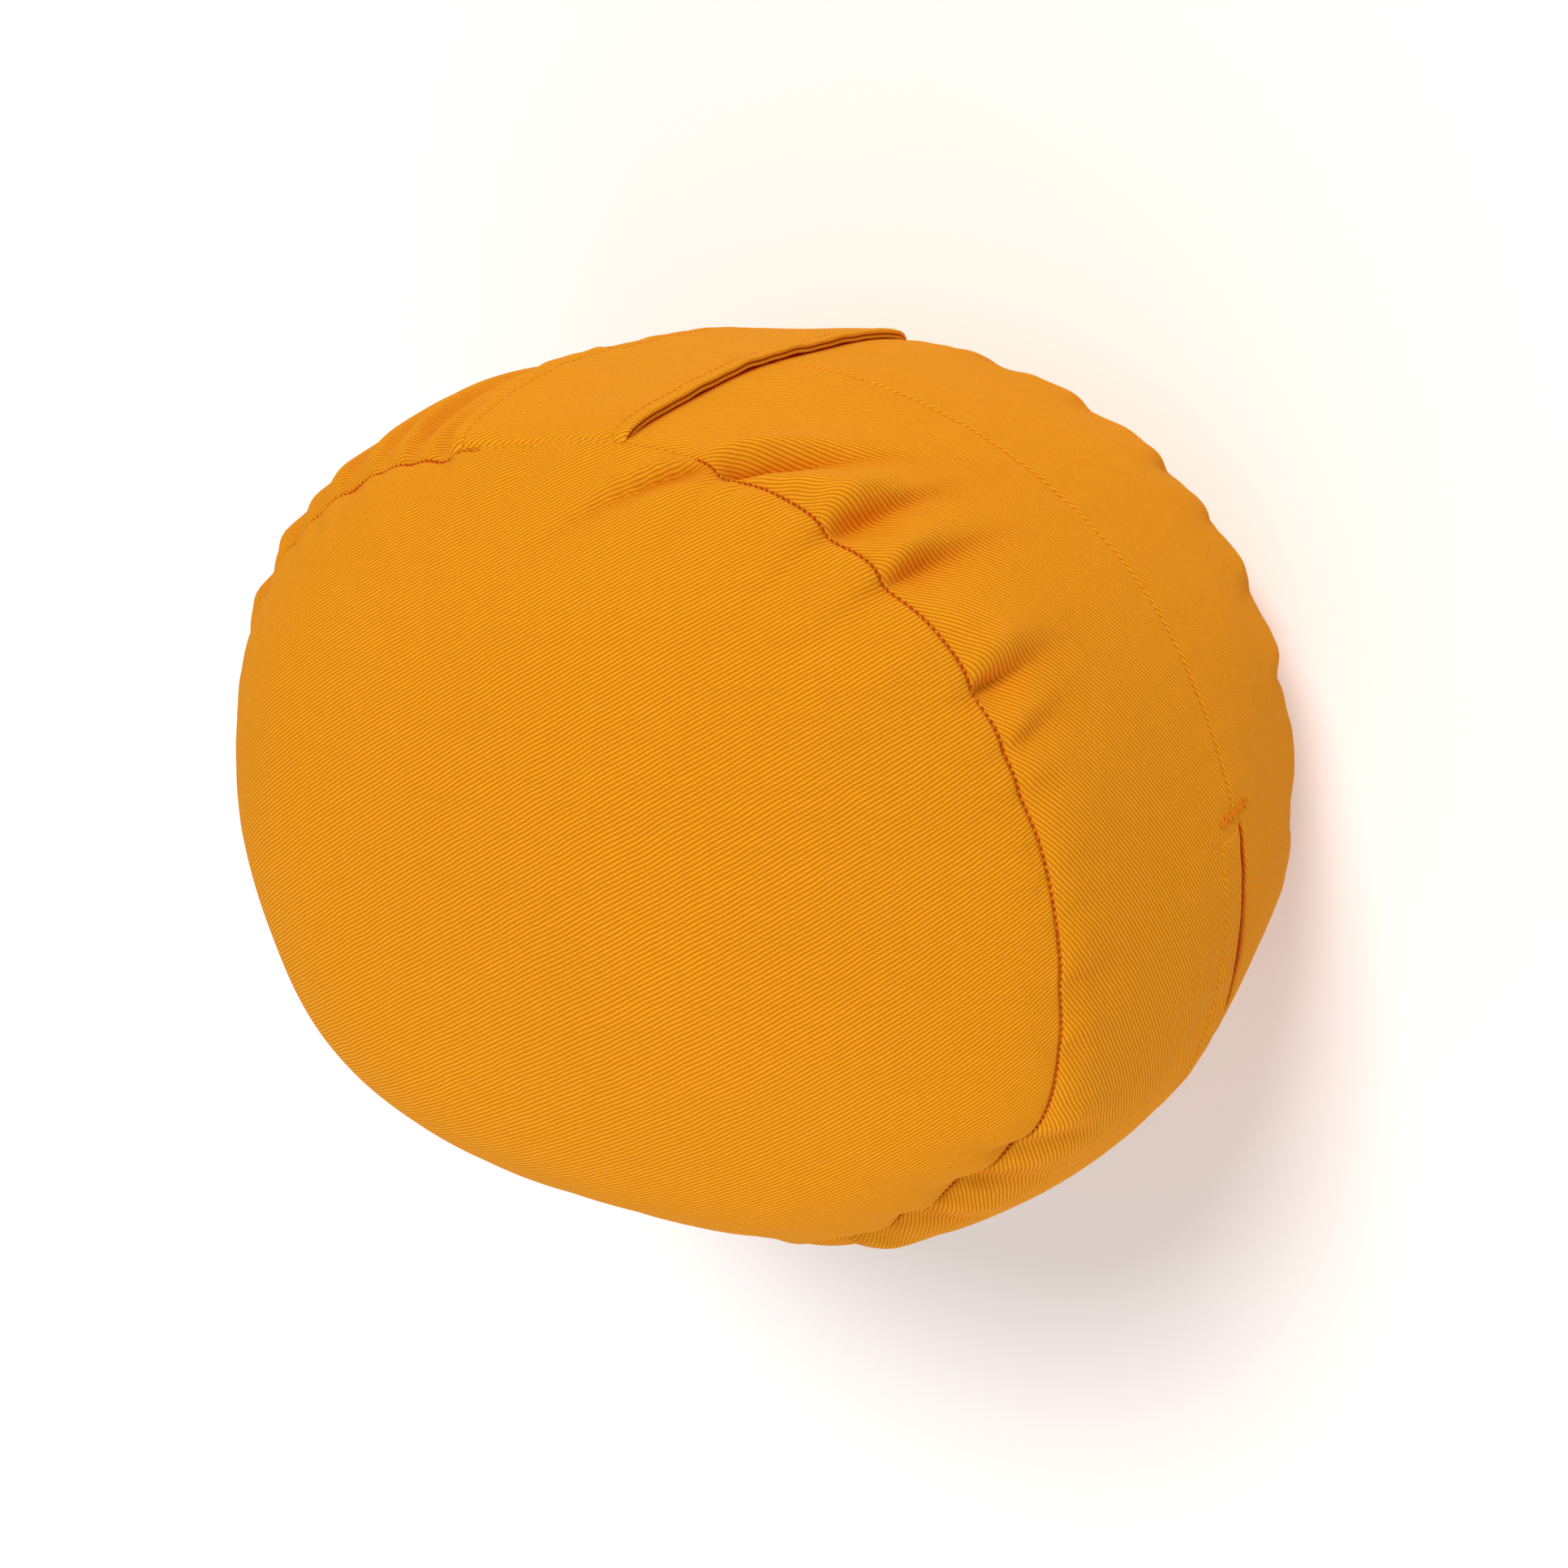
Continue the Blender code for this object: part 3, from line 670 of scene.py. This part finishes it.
    def build(self):
        """The closed mesh of the cover, with its cloth map and its three painted shade masks."""
        rows = len(self.points)
        bottom = place_round(np.zeros(1), 0.0, 0.0)
        top = self.points[-1].mean(axis=0, keepdims=True)
        top[0, 2] = max(top[0, 2], self.points[-1, :, 2].max())
        vertices = np.concatenate([self.points.reshape(-1, 3), bottom, top])
        quads = ring_quads(rows, SEGMENTS)
        bottom_fan = columns(quads[0, :, 1], quads[0, :, 0], rows * SEGMENTS)
        top_fan = columns(quads[-1, :, 3], quads[-1, :, 2], rows * SEGMENTS + 1)
        back, band, front = (quad_places(grid) for grid in self.flat_places())
        row = np.arange(rows - 1)
        on_band = (row >= self.band_start) & (row < self.band_end)
        maps = np.concatenate([back[:self.band_start], band[on_band], front[self.band_end:]])
        middle = np.zeros((SEGMENTS, 2))
        fan_back = np.stack([back[0, :, 1], back[0, :, 0], middle], axis=1)
        fan_front = np.stack([front[-1, :, 3], front[-1, :, 2], middle], axis=1)
        cloth_map = np.concatenate([part.reshape(-1, 2) for part in (maps, fan_back, fan_front)])
        faces = quads.reshape(-1, 4).tolist() + bottom_fan.tolist() + top_fan.tolist()
        made = mesh_object("cushion_cover", vertices, faces, cloth_map)
        cloth_kind = np.append(np.repeat(on_band, SEGMENTS), np.zeros(2 * SEGMENTS))
        made.data.polygons.foreach_set("material_index", cloth_kind.astype(np.int32))
        for name in ("painted_seam_shade", "painted_crease_shade", "painted_gap_shade"):
            add_shade(made, name, np.append(getattr(self, name), (0.0, 0.0)))
        return made


def quad_places(grid):
    """The four corner values of every quad of a grid, in the order of its faces."""
    return np.stack([grid[:-1, :-1], grid[:-1, 1:], grid[1:, 1:], grid[1:, :-1]], axis=2)


def mesh_object(name, vertices, faces, cloth_map=None):
    """A smooth object from arrays. cloth_map has one flat place in metres for each face corner."""
    mesh = bpy.data.meshes.new(name)
    mesh.from_pydata(vertices.tolist(), [], faces)
    if cloth_map is not None:
        layer = mesh.uv_layers.new(name="cloth")
        layer.data.foreach_set("uv", np.ascontiguousarray(cloth_map, dtype=np.float32).ravel())
    mesh.shade_smooth()
    mesh.update()
    made = bpy.data.objects.new(name, mesh)
    bpy.context.scene.collection.objects.link(made)
    return made


def add_shade(made, name, values):
    """A named value from 0 to 1 at every point of a piece."""
    attribute = made.data.attributes.new(name, "FLOAT", "POINT")
    attribute.data.foreach_set("value", np.asarray(values, dtype=np.float32))


def swept_piece(name, rings, flat_around, flat_along, along_first=False):
    """A closed skin over a stack of section rings, its two ends capped.

    The cloth map is flat_around and flat_along, or with along_first flat_along and minus flat_around.
    """
    count, size = rings.shape[:2]
    places = columns(flat_around[None, :], flat_along[:, None])
    side_map = quad_places(places).reshape(-1, 2)
    cloth_map = np.concatenate([side_map, places[0, :-1][::-1], places[-1, :-1]])
    if along_first:
        cloth_map = cloth_map[:, ::-1] * (1.0, -1.0)
    caps = [list(range(size - 1, -1, -1)), list(range((count - 1) * size, count * size))]
    faces = ring_quads(count, size).reshape(-1, 4).tolist() + caps
    return mesh_object(name, rings.reshape(-1, 3), faces, cloth_map)


def closed_length(outline):
    """Distance travelled round a closed outline, from its first point back to it."""
    return travelled(np.concatenate([outline, outline[:1]]))


def arc(centre, radius, start, stop, count):
    """Points of a circle's arc, angles in degrees."""
    turn = np.radians(np.linspace(start, stop, count))
    return columns(centre[0] + radius * np.cos(turn), centre[1] + radius * np.sin(turn))


def handle_section():
    """Outline of the strap: two flat layers with round edges, and the narrow gap between them."""
    side = STRAP_WIDTH / 2.0
    radius = STRAP_ROUND
    lower = arc((side - radius, radius), radius, -90.0, 90.0, 8)
    upper = arc((side - radius, STRAP_THICKNESS - radius), radius, -90.0, 90.0, 8)
    gap = np.array([[side - STRAP_FOLD_DEPTH, STRAP_LAYER]])
    edge = np.concatenate([lower, gap, upper])
    between = np.linspace(-(side - radius), side - radius, STRAP_POINTS_ACROSS)[1:-1]
    under, over = columns(between, 0.0), columns(between[::-1], STRAP_THICKNESS)
    return np.concatenate([under, edge, over, edge[::-1] * (-1.0, 1.0)])


def handle_lift(across):
    """Height of the strap's underside over the band: a parabola of slack, less a sink of
    e^(-distance / spread) at both seams, where the panels lap over it.
    """
    slack = STRAP_SLACK * (1.0 - (across / STRAP_END) ** 2)
    from_end = (1.0 - np.abs(across)) * BAND_HALF_HEIGHT
    return STRAP_SEAT_GAP + slack - STRAP_END_SINK * np.exp(-from_end / STRAP_END_SPREAD)


def handle_ripple(across, sideways):
    """Soft unevenness of the strap: sine waves over it, gone at its ends."""
    wave = sum(height * np.sin(across * along + sideways * aside + phase)
               for height, along, aside, phase in STRAP_RIPPLES)
    return wave * (1.0 - across ** 2)


def build_handle(cover):
    """The strap follows the band from seam to seam and goes straight on into both seams."""
    section = handle_section()
    outer = section[:, 1] > 0.9 * STRAP_THICKNESS
    from_edge = STRAP_WIDTH / 2.0 - np.abs(section[:, 0])
    swell, dent = hump(from_edge, *STRAP_EDGE_SWELL), hump(from_edge, *STRAP_STITCH_DENT)
    padding = np.where(outer, swell, 0.0) - np.where(outer, dent, 0.0)
    across = np.linspace(STRAP_END, -STRAP_END, STRAP_ROWS)[:, None]
    angle = STRAP_ANGLE + section[None, :, 0] / seam_radius(STRAP_ANGLE)
    seat, normal = cover.at(angle, across, lapped=False)
    lift = handle_lift(across) + section[None, :, 1] + padding + handle_ripple(across, section[None, :, 0])
    rings = seat + lift[..., None] * normal
    inward = -np.array([np.cos(STRAP_ANGLE), np.sin(STRAP_ANGLE), 0.0])
    rings = np.concatenate([rings[:1] + STRAP_BURIED * inward, rings, rings[-1:] + STRAP_BURIED * inward])
    run = travelled(rings[:, len(section) // 4])
    strap = swept_piece("handle_strap", rings, closed_length(section), run)
    # Painted shade: dark red between the strap's two layers and along its underside, where they lie in
    # shadow.
    shade = hump(section[:, 1], *STRAP_GAP_SHADE) + hump(section[:, 1], *STRAP_UNDER_SHADE)
    add_shade(strap, "painted_gap_shade", np.tile(shade, len(rings)))
    return strap


def flap_section():
    """Outline of the lapped strip: round at the fold, and sinking into the band past its stitching."""
    height = np.linspace(FLAP_FOLD_HEIGHT, FLAP_TOP_HEIGHT, 26)
    depth, before, spread = FLAP_SINK
    past = np.clip((height - FLAP_STITCH_HEIGHT + before) / spread, 0.0, 1.0)
    sink = depth * past ** 2 * (3.0 - 2.0 * past)
    dent = hump(height, *FLAP_STITCH_DENT)
    thickness = FLAP_THICKNESS - FLAP_THINNING * height / FLAP_TOP_HEIGHT
    over, under = columns(height, thickness - sink - dent), columns(height, FLAP_UNDERSIDE - sink)
    radius = FLAP_THICKNESS / 2.0
    fold = arc((FLAP_FOLD_HEIGHT, radius), radius, 90.0, 270.0, 9)[1:-1]
    return np.concatenate([under, over[::-1], fold])


def build_flap(cover):
    """The folded strip over the zip, along the middle of the band, thin and closed at both ends."""
    section = flap_section()
    height, depth = section.T[:, None]
    angle = np.linspace(ZIP_END, ZIP_START, FLAP_ROWS)[:, None]
    ends = np.sin(np.linspace(0.0, np.pi, FLAP_ROWS))[:, None] ** FLAP_END_POWER
    ripple = sum(swing * np.sin(angle * waves + phase) for swing, waves, phase in FLAP_RIPPLES)
    open_edge = hump(height, *FLAP_OPEN_EDGE)
    seat, normal = cover.on_band(angle, height + hump(angle, *FLAP_RISE) * open_edge)
    lift = FLAP_SEAT_GAP + depth * ends + ripple * open_edge * ends
    rings = seat + lift[..., None] * normal
    run = travelled(rings[:, 8])
    return swept_piece("zip_flap_strip", rings, closed_length(section), run, along_first=True)


def stitches(name, starts, ends, normals, radius, rise):
    """Short threads as one mesh: tubes that rise as half a sine wave and narrow at both ends."""
    share = np.linspace(0.0, 1.0, THREAD_RINGS)
    way = (ends - starts)[:, None, :]
    line = starts[:, None, :] + way * share[None, :, None]
    line = line + normals[:, None, :] * (rise * np.sin(np.pi * share))[None, :, None]
    side = unit(np.cross(ends - starts, normals))
    width = radius * np.clip(np.sin(np.pi * share) * THREAD_TAPER, THREAD_TIP, 1.0)
    turn = np.linspace(0.0, 2.0 * np.pi, THREAD_SIDES, endpoint=False)
    spread = np.cos(turn)[:, None] * side[:, None, :] + np.sin(turn)[:, None] * normals[:, None, :]
    points = line[:, :, None, :] + width[None, :, None, None] * spread[:, None, :, :]
    count, rings, size = points.shape[:3]
    quads = ring_quads(rings, size)[..., [1, 0, 3, 2]].reshape(-1, 4)
    offsets = np.arange(count)[:, None, None] * rings * size
    all_quads = (quads[None] + offsets).reshape(-1, 4)
    caps = np.stack([np.arange(size), np.arange(rings * size - 1, (rings - 1) * size - 1, -1)])
    all_caps = (caps[None] + offsets).reshape(-1, size)
    return mesh_object(name, points.reshape(-1, 3), all_quads.tolist() + all_caps.tolist())


def along_curve(points, normals, step, length):
    """Starts, ends and normals of stitches of one length, a step apart along a fine curve."""
    run = travelled(points)
    starts = np.arange(0.3 * step, run[-1] - length, step)

    def read(place, values):
        return columns(*(np.interp(place, run, value) for value in values.T))
    return read(starts, points), read(starts + length, points), unit(read(starts + length / 2.0, normals))


def sewn_lines(name, curves, stitch):
    """Stitches along curves, each given as its points and their normals."""
    step, length, radius, rise = stitch
    found = [along_curve(points, normals, step, length) for points, normals in curves]
    starts, ends, up = (np.concatenate(group) for group in zip(*found))
    return stitches(name, starts, ends, up, radius, rise)


def seam_thread(name, cover, front):
    """Short slanting stitches along a panel seam, sunk in its valley and none under the handle. Their dark
    red is partly the thread's and partly painted shade of the gaps between stitches.
    """
    side = 1.0 if front else -1.0
    step, length, radius, rise = SEAM_STITCH
    angle = np.arange(0.0, 2.0 * np.pi, step / seam_radius(0.0))
    shown = (angle < SEAM_HIDDEN_START) | (angle > SEAM_HIDDEN_END)
    under_strap = np.abs(wrap(angle - STRAP_ANGLE)) < STRAP_WIDTH / 2.0 / seam_radius(STRAP_ANGLE)
    angle = angle[shown if front else ~under_strap]
    on_band, band_side = cover.at(angle, side * SEAM_STITCH_ACROSS)
    seam, seam_normal = cover.at(angle, side)
    outward = unit(band_side + seam_normal)
    way = unit(on_band - seam)
    half = length / 2.0 * unit(np.roll(seam, -1, axis=0) - seam)
    starts = seam - SEAM_STITCH_IN * way - SEAM_STITCH_SINK * outward - half
    ends = seam + SEAM_STITCH_OUT * way - SEAM_STITCH_SINK * outward + half
    return stitches(name, starts, ends, outward, radius, rise)


def middle_seam_thread(cover):
    """Fine stitches along the seam round the middle of the band, from the zip's end to its start."""
    angle = np.linspace(ZIP_START + 0.01, ZIP_END + 2.0 * np.pi - 0.01, 1500)
    points, normals = cover.on_band(angle, 0.0)
    curve = (points - MIDDLE_STITCH_SINK * normals, normals)
    return sewn_lines("middle_seam_thread", [curve], MIDDLE_STITCH)


def flap_thread(cover):
    """Topstitching that holds the flap, along its sewn side."""
    angle = np.linspace(ZIP_END + 0.02, ZIP_START - 0.02, 700)
    points, normals = cover.on_band(angle, FLAP_STITCH_HEIGHT)
    lift = FLAP_SEAT_GAP + FLAP_THICKNESS - FLAP_STITCH_SINK
    return sewn_lines("flap_thread", [(points + lift * normals, normals)], FLAP_STITCH)


def handle_thread(cover):
    """Topstitching a few millimetres inside both edges of the handle."""
    curves = []
    for side in (-1.0, 1.0):
        across = np.linspace(STRAP_END, -STRAP_END, 600)
        place = side * (STRAP_WIDTH / 2.0 - STRAP_STITCH_INSET)
        seat, normal = cover.at(STRAP_ANGLE + place / seam_radius(STRAP_ANGLE), across, lapped=False)
        lift = handle_lift(across) + STRAP_THICKNESS - STRAP_STITCH_SINK + handle_ripple(across, place)
        curves.append((seat + lift[:, None] * normal, normal))
    return sewn_lines("handle_thread", curves, STRAP_STITCH)


def bar_tack(name, cover, centre_angle):
    """A bar-tack: close, uneven stitches back and forth over a narrow strip across the band's middle."""
    height = np.linspace(*TACK_HEIGHTS, TACK_STITCHES + 1)
    random = np.random.default_rng(11)
    least, more = TACK_REACH
    reach = (least + more * random.random(TACK_STITCHES + 1) ** 1.5) * MM / TACK_BAND_RADIUS
    sway = reach * np.where(np.arange(TACK_STITCHES + 1) % 2 == 0, 1.0, -1.0)
    points, normals = cover.on_band(centre_angle + sway, height)
    points = points + normals * TACK_LIFT
    return stitches(name, points[:-1], points[1:], unit(normals[:-1] + normals[1:]), *TACK_STITCH)


def fill_inputs(tree, node, inputs):
    """Sets a node's inputs to values or links them to sockets. A colour is three numbers."""
    for label, value in inputs.items():
        socket = node.inputs[label]
        if isinstance(value, bpy.types.NodeSocket):
            tree.links.new(value, socket)
        else:
            socket.default_value = (*value, 1.0) if socket.type == "RGBA" else value


def add_node(tree, kind, inputs=None, **settings):
    """A shader node with its settings and its inputs."""
    node = tree.nodes.new("ShaderNode" + kind)
    for name, value in settings.items():
        setattr(node, name, value)
    fill_inputs(tree, node, inputs or {})
    return node


def maths(tree, operation, *operands):
    """What a Math node makes of its operands, each a socket or a number."""
    return add_node(tree, "Math", dict(enumerate(operands)), operation=operation).outputs[0]


def mix_colour(tree, share, first, second, blend="MIX"):
    """A colour between two, or one tinted by another. Sockets 6, 7 and 2 are a Mix node's colours."""
    inputs = {"Factor": share, 6: first, 7: second}
    return add_node(tree, "Mix", inputs, data_type="RGBA", blend_type=blend).outputs[2]


def twill_group():
    """The weave as numbers: Height of the threads and Hump, the part of the float that shows.

    Warp ends run along X. An end's number is the whole part of y over the end pitch, and its float
    rises over three of every four picks, shifted one pick from each end to the next.
    """
    group = bpy.data.node_groups.new("Twill weave", "ShaderNodeTree")
    group.interface.new_socket("Place", in_out="INPUT", socket_type="NodeSocketVector")
    for label, value in (("End pitch", END_PITCH), ("Pick pitch", PICK_PITCH), ("Warp turn", 0.0)):
        socket = group.interface.new_socket(label, in_out="INPUT", socket_type="NodeSocketFloat")
        socket.default_value = value
    start = group.nodes.new("NodeGroupInput").outputs
    waver = add_node(group, "TexNoise", {"Vector": start["Place"], "Scale": WAVER_SCALE, "Detail": 2.0})
    centred = {0: waver.outputs["Color"], 1: (0.5, 0.5, 0.5)}
    centred = add_node(group, "VectorMath", centred, operation="SUBTRACT").outputs[0]
    shifted = {0: centred, 1: (WAVER_REACH, WAVER_REACH, 0.0), 2: start["Place"]}
    shifted = add_node(group, "VectorMath", shifted, operation="MULTIPLY_ADD").outputs[0]
    turned = {"Vector": shifted, "Angle": start["Warp turn"]}
    turned = add_node(group, "VectorRotate", turned, rotation_type="Z_AXIS").outputs[0]
    split = add_node(group, "SeparateXYZ", {0: turned}).outputs

    def calculate(operation, *operands):
        return maths(group, operation, *operands)
    ends = calculate("DIVIDE", split["Y"], start["End pitch"])
    number, within = calculate("FLOOR", ends), calculate("FRACT", ends)
    round_end = calculate("MULTIPLY", calculate("MULTIPLY", within, 4.0),
                          calculate("SUBTRACT", 1.0, within))
    picks = calculate("DIVIDE", split["X"], start["Pick pitch"])
    floats = calculate("MULTIPLY", calculate("SUBTRACT", picks, number), 0.25)
    hump_turn = calculate("MULTIPLY", calculate("FRACT", floats), np.pi / FLOAT_SHARE)
    hump_height = calculate("MAXIMUM", calculate("SINE", hump_turn), 0.0)
    hump_height = calculate("POWER", hump_height, HUMP_POWER)
    height = calculate("MULTIPLY", calculate("POWER", round_end, 0.5),
                       calculate("MULTIPLY_ADD", hump_height, *HUMP_HEIGHT))
    tone = add_node(group, "TexWhiteNoise", {"W": number}, noise_dimensions="1D")
    which = add_node(group, "CombineXYZ", {"X": number, "Y": calculate("FLOOR", floats)})
    float_tone = add_node(group, "TexWhiteNoise", {"Vector": which.outputs[0]}, noise_dimensions="2D")
    results = {"Height": height, "Hump": hump_height, "End tone": tone.outputs["Value"],
               "Float tone": float_tone.outputs["Value"]}
    for label in results:
        group.interface.new_socket(label, in_out="OUTPUT", socket_type="NodeSocketFloat")
    fill_inputs(group, group.nodes.new("NodeGroupOutput"), results)
    return group


def new_material(name):
    """A material with its node tree and its main shader."""
    material = bpy.data.materials.new(name)
    material.use_nodes = True
    return material, material.node_tree, material.node_tree.nodes["Principled BSDF"]


def cloth_material(name, warp_turn):
    """Matt orange twill: lighter floats over deeper grooves, faintly fuzzy, with painted shade: redder in
    the seams' valleys, and darker and redder in the folds, the zip's slit and the strap's gaps.
    """
    material, tree, shader = new_material(name)
    shades = {label: add_node(tree, "Attribute", attribute_name=label).outputs["Fac"]
              for label in ("painted_seam_shade", "painted_crease_shade", "painted_gap_shade")}
    place = add_node(tree, "UVMap", uv_map="cloth").outputs["UV"]
    weave = add_node(tree, "Group", {"Place": place, "Warp turn": warp_turn}, node_tree=TWILL).outputs
    spots = add_node(tree, "TexCoord").outputs["Object"]
    broad = add_node(tree, "TexNoise", {"Vector": spots, "Scale": BROAD_SCALE, "Detail": 4.0})
    tone = maths(tree, "MULTIPLY_ADD", weave["End tone"], *END_TONE)
    tone = maths(tree, "MULTIPLY_ADD", weave["Float tone"], FLOAT_TONE, tone)
    tone = maths(tree, "MULTIPLY", tone, maths(tree, "MULTIPLY_ADD", broad.outputs["Fac"], *BROAD_TONE))
    share = maths(tree, "MULTIPLY_ADD", maths(tree, "MULTIPLY", weave["Hump"], tone), *LIGHT_SHARE)
    cloth = mix_colour(tree, share, CLOTH_DEEP, CLOTH_LIGHT)
    # Painted shade: the folds, the seams' valleys and the gaps take darker, redder colour where they lie
    # in shadow.
    cloth = mix_colour(tree, shades["painted_crease_shade"], cloth, CREASE_PAINTED_SHADE, "MULTIPLY")
    cloth = mix_colour(tree, maths(tree, "MULTIPLY", shades["painted_seam_shade"], PAINTED_SEAM_SHADE_SHARE), cloth, PAINTED_SEAM_SHADE)
    cloth = mix_colour(tree, shades["painted_gap_shade"], cloth, PAINTED_GAP_SHADE)
    bump = {"Distance": RELIEF_DEPTH, "Strength": RELIEF_STRENGTH, "Height": weave["Height"]}
    normal = add_node(tree, "Bump", bump).outputs["Normal"]
    fill_inputs(tree, shader, {**CLOTH_SURFACE, "Base Color": cloth, "Normal": normal})
    return material


def thread_material(name, colour):
    """Slightly shiny spun thread with a fine twist."""
    material, tree, shader = new_material(name)
    spots = add_node(tree, "TexCoord").outputs["Object"]
    twist = add_node(tree, "TexNoise", {"Vector": spots, "Scale": THREAD_TWIST_SCALE})
    darker = tuple(THREAD_DARK_SHARE * value for value in colour)
    shade = mix_colour(tree, twist.outputs["Fac"], darker, colour)
    fill_inputs(tree, shader, {**THREAD_SURFACE, "Base Color": shade})
    return material


def paint(piece, *materials):
    """Gives a piece its materials."""
    for material in materials:
        piece.data.materials.append(material)


TWILL = twill_group()
PANEL_TWILL = cloth_material("Panel twill", PANEL_WARP_TURN)
BAND_TWILL = cloth_material("Band twill", BAND_WARP_TURN)
HANDLE_TWILL = cloth_material("Handle twill", BAND_WARP_TURN)
THREAD = thread_material("Stitching thread", THREAD_COLOUR)
SEAM_THREAD_AND_SHADE = thread_material("Seam thread and painted shade", SEAM_THREAD_AND_SHADE_COLOUR)
TACK_THREAD = thread_material("Bar tack thread", TACK_COLOUR)

# Camera, in the frame of the seams' centre: distance, direction, roll and the shift of its aim.
VIEW_DISTANCE = 0.600
VIEW_TURN = np.radians(37.43)
VIEW_LIFT = np.radians(20.37)
VIEW_ROLL = np.radians(-8.76)
VIEW_SHIFT_RIGHT = 9.4 * MM
VIEW_SHIFT_UP = -6.9 * MM
SENSOR = 36.0
IMAGE_SIDE = 1932.0
FOCAL_PIXELS = 2217.7


def add_camera():
    """The camera at the photo's angle to the front panel."""
    level = np.array([np.cos(VIEW_TURN), 0.0, -np.sin(VIEW_TURN)])
    flat = np.cos(VIEW_LIFT)
    back = np.array([np.sin(VIEW_TURN) * flat, np.sin(VIEW_LIFT), np.cos(VIEW_TURN) * flat])
    upward = np.cross(back, level)
    right = level * np.cos(VIEW_ROLL) + upward * np.sin(VIEW_ROLL)
    up = upward * np.cos(VIEW_ROLL) - level * np.sin(VIEW_ROLL)
    centre = np.array([SEAM_CENTRE_X, SEAM_CENTRE_Y, MID_HEIGHT])
    place = centre + VIEW_DISTANCE * back + VIEW_SHIFT_RIGHT * right + VIEW_SHIFT_UP * up
    lens = bpy.data.cameras.new("photo_camera")
    lens.sensor_width = SENSOR
    lens.lens = FOCAL_PIXELS / IMAGE_SIDE * SENSOR
    lens.clip_start = 0.01
    camera = bpy.data.objects.new("photo_camera", lens)
    turn = Matrix((right, up, back)).transposed().to_4x4()
    camera.matrix_world = Matrix.Translation(Vector(place)) @ turn
    bpy.context.scene.collection.objects.link(camera)
    bpy.context.scene.camera = camera


def add_light(name, turn, lift, strength, softness, shadow=True):
    """A far, soft light. turn goes round from +X and lift up from the floor, in degrees."""
    light = bpy.data.lights.new(name, "SUN")
    light.energy = strength
    light.angle = np.radians(softness)
    light.use_shadow = shadow
    lamp = bpy.data.objects.new(name, light)
    turn, lift = np.radians(turn), np.radians(lift)
    aim = Vector((np.cos(lift) * np.cos(turn), np.cos(lift) * np.sin(turn), np.sin(lift)))
    lamp.location = aim * 2.0
    lamp.rotation_euler = aim.to_track_quat("Z", "Y").to_euler()
    bpy.context.scene.collection.objects.link(lamp)


def add_studio():
    """Pale floor, white surroundings and a broad soft key light from the handle's side."""
    world = bpy.data.worlds.new("studio")
    world.use_nodes = True
    white = {"Color": (1.0, 1.0, 1.0), "Strength": WORLD_STRENGTH}
    fill_inputs(world.node_tree, world.node_tree.nodes["Background"], white)
    bpy.context.scene.world = world
    add_light("key_light", *KEY_LIGHT)
    add_light("low_fill_light", *FILL_LIGHT, shadow=False)
    bpy.context.scene.view_settings.view_transform = "Standard"
    corners = FLOOR_HALF * np.array([[-1, -1, 0], [1, -1, 0], [1, 1, 0], [-1, 1, 0]])
    floor = mesh_object("studio_floor", corners, [(0, 1, 2, 3)])
    material, tree, shader = new_material("Studio floor")
    fill_inputs(tree, shader, FLOOR_SURFACE)
    paint(floor, material)


cover = Cover()
cushion_cover = cover.build()
paint(cushion_cover, PANEL_TWILL, BAND_TWILL)
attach(cushion_cover, "root")
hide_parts("cushion")

handle_strap = build_handle(cover)
paint(handle_strap, HANDLE_TWILL)
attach(handle_strap, "root")
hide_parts("handle")

zip_flap_strip = build_flap(cover)
paint(zip_flap_strip, BAND_TWILL)
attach(zip_flap_strip, "root")
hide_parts("zip_flap")

for thread, finish, slot_name in (
        (seam_thread("front_seam_thread", cover, front=True), SEAM_THREAD_AND_SHADE, "cushion_cloth"),
        (seam_thread("back_seam_thread", cover, front=False), SEAM_THREAD_AND_SHADE, "cushion_cloth"),
        (middle_seam_thread(cover), TACK_THREAD, "cushion_cloth"),
        (flap_thread(cover), THREAD, "zip_flap_cloth"),
        (handle_thread(cover), THREAD, "handle_cloth"),
        (bar_tack("upper_bar_tack", cover, ZIP_START + TACK_PAST_ZIP), TACK_THREAD, "zip_flap_cloth"),
        (bar_tack("lower_bar_tack", cover, ZIP_END - TACK_PAST_ZIP), TACK_THREAD, "zip_flap_cloth")):
    paint(thread, finish)
    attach(thread, "root")

add_camera()
add_studio()
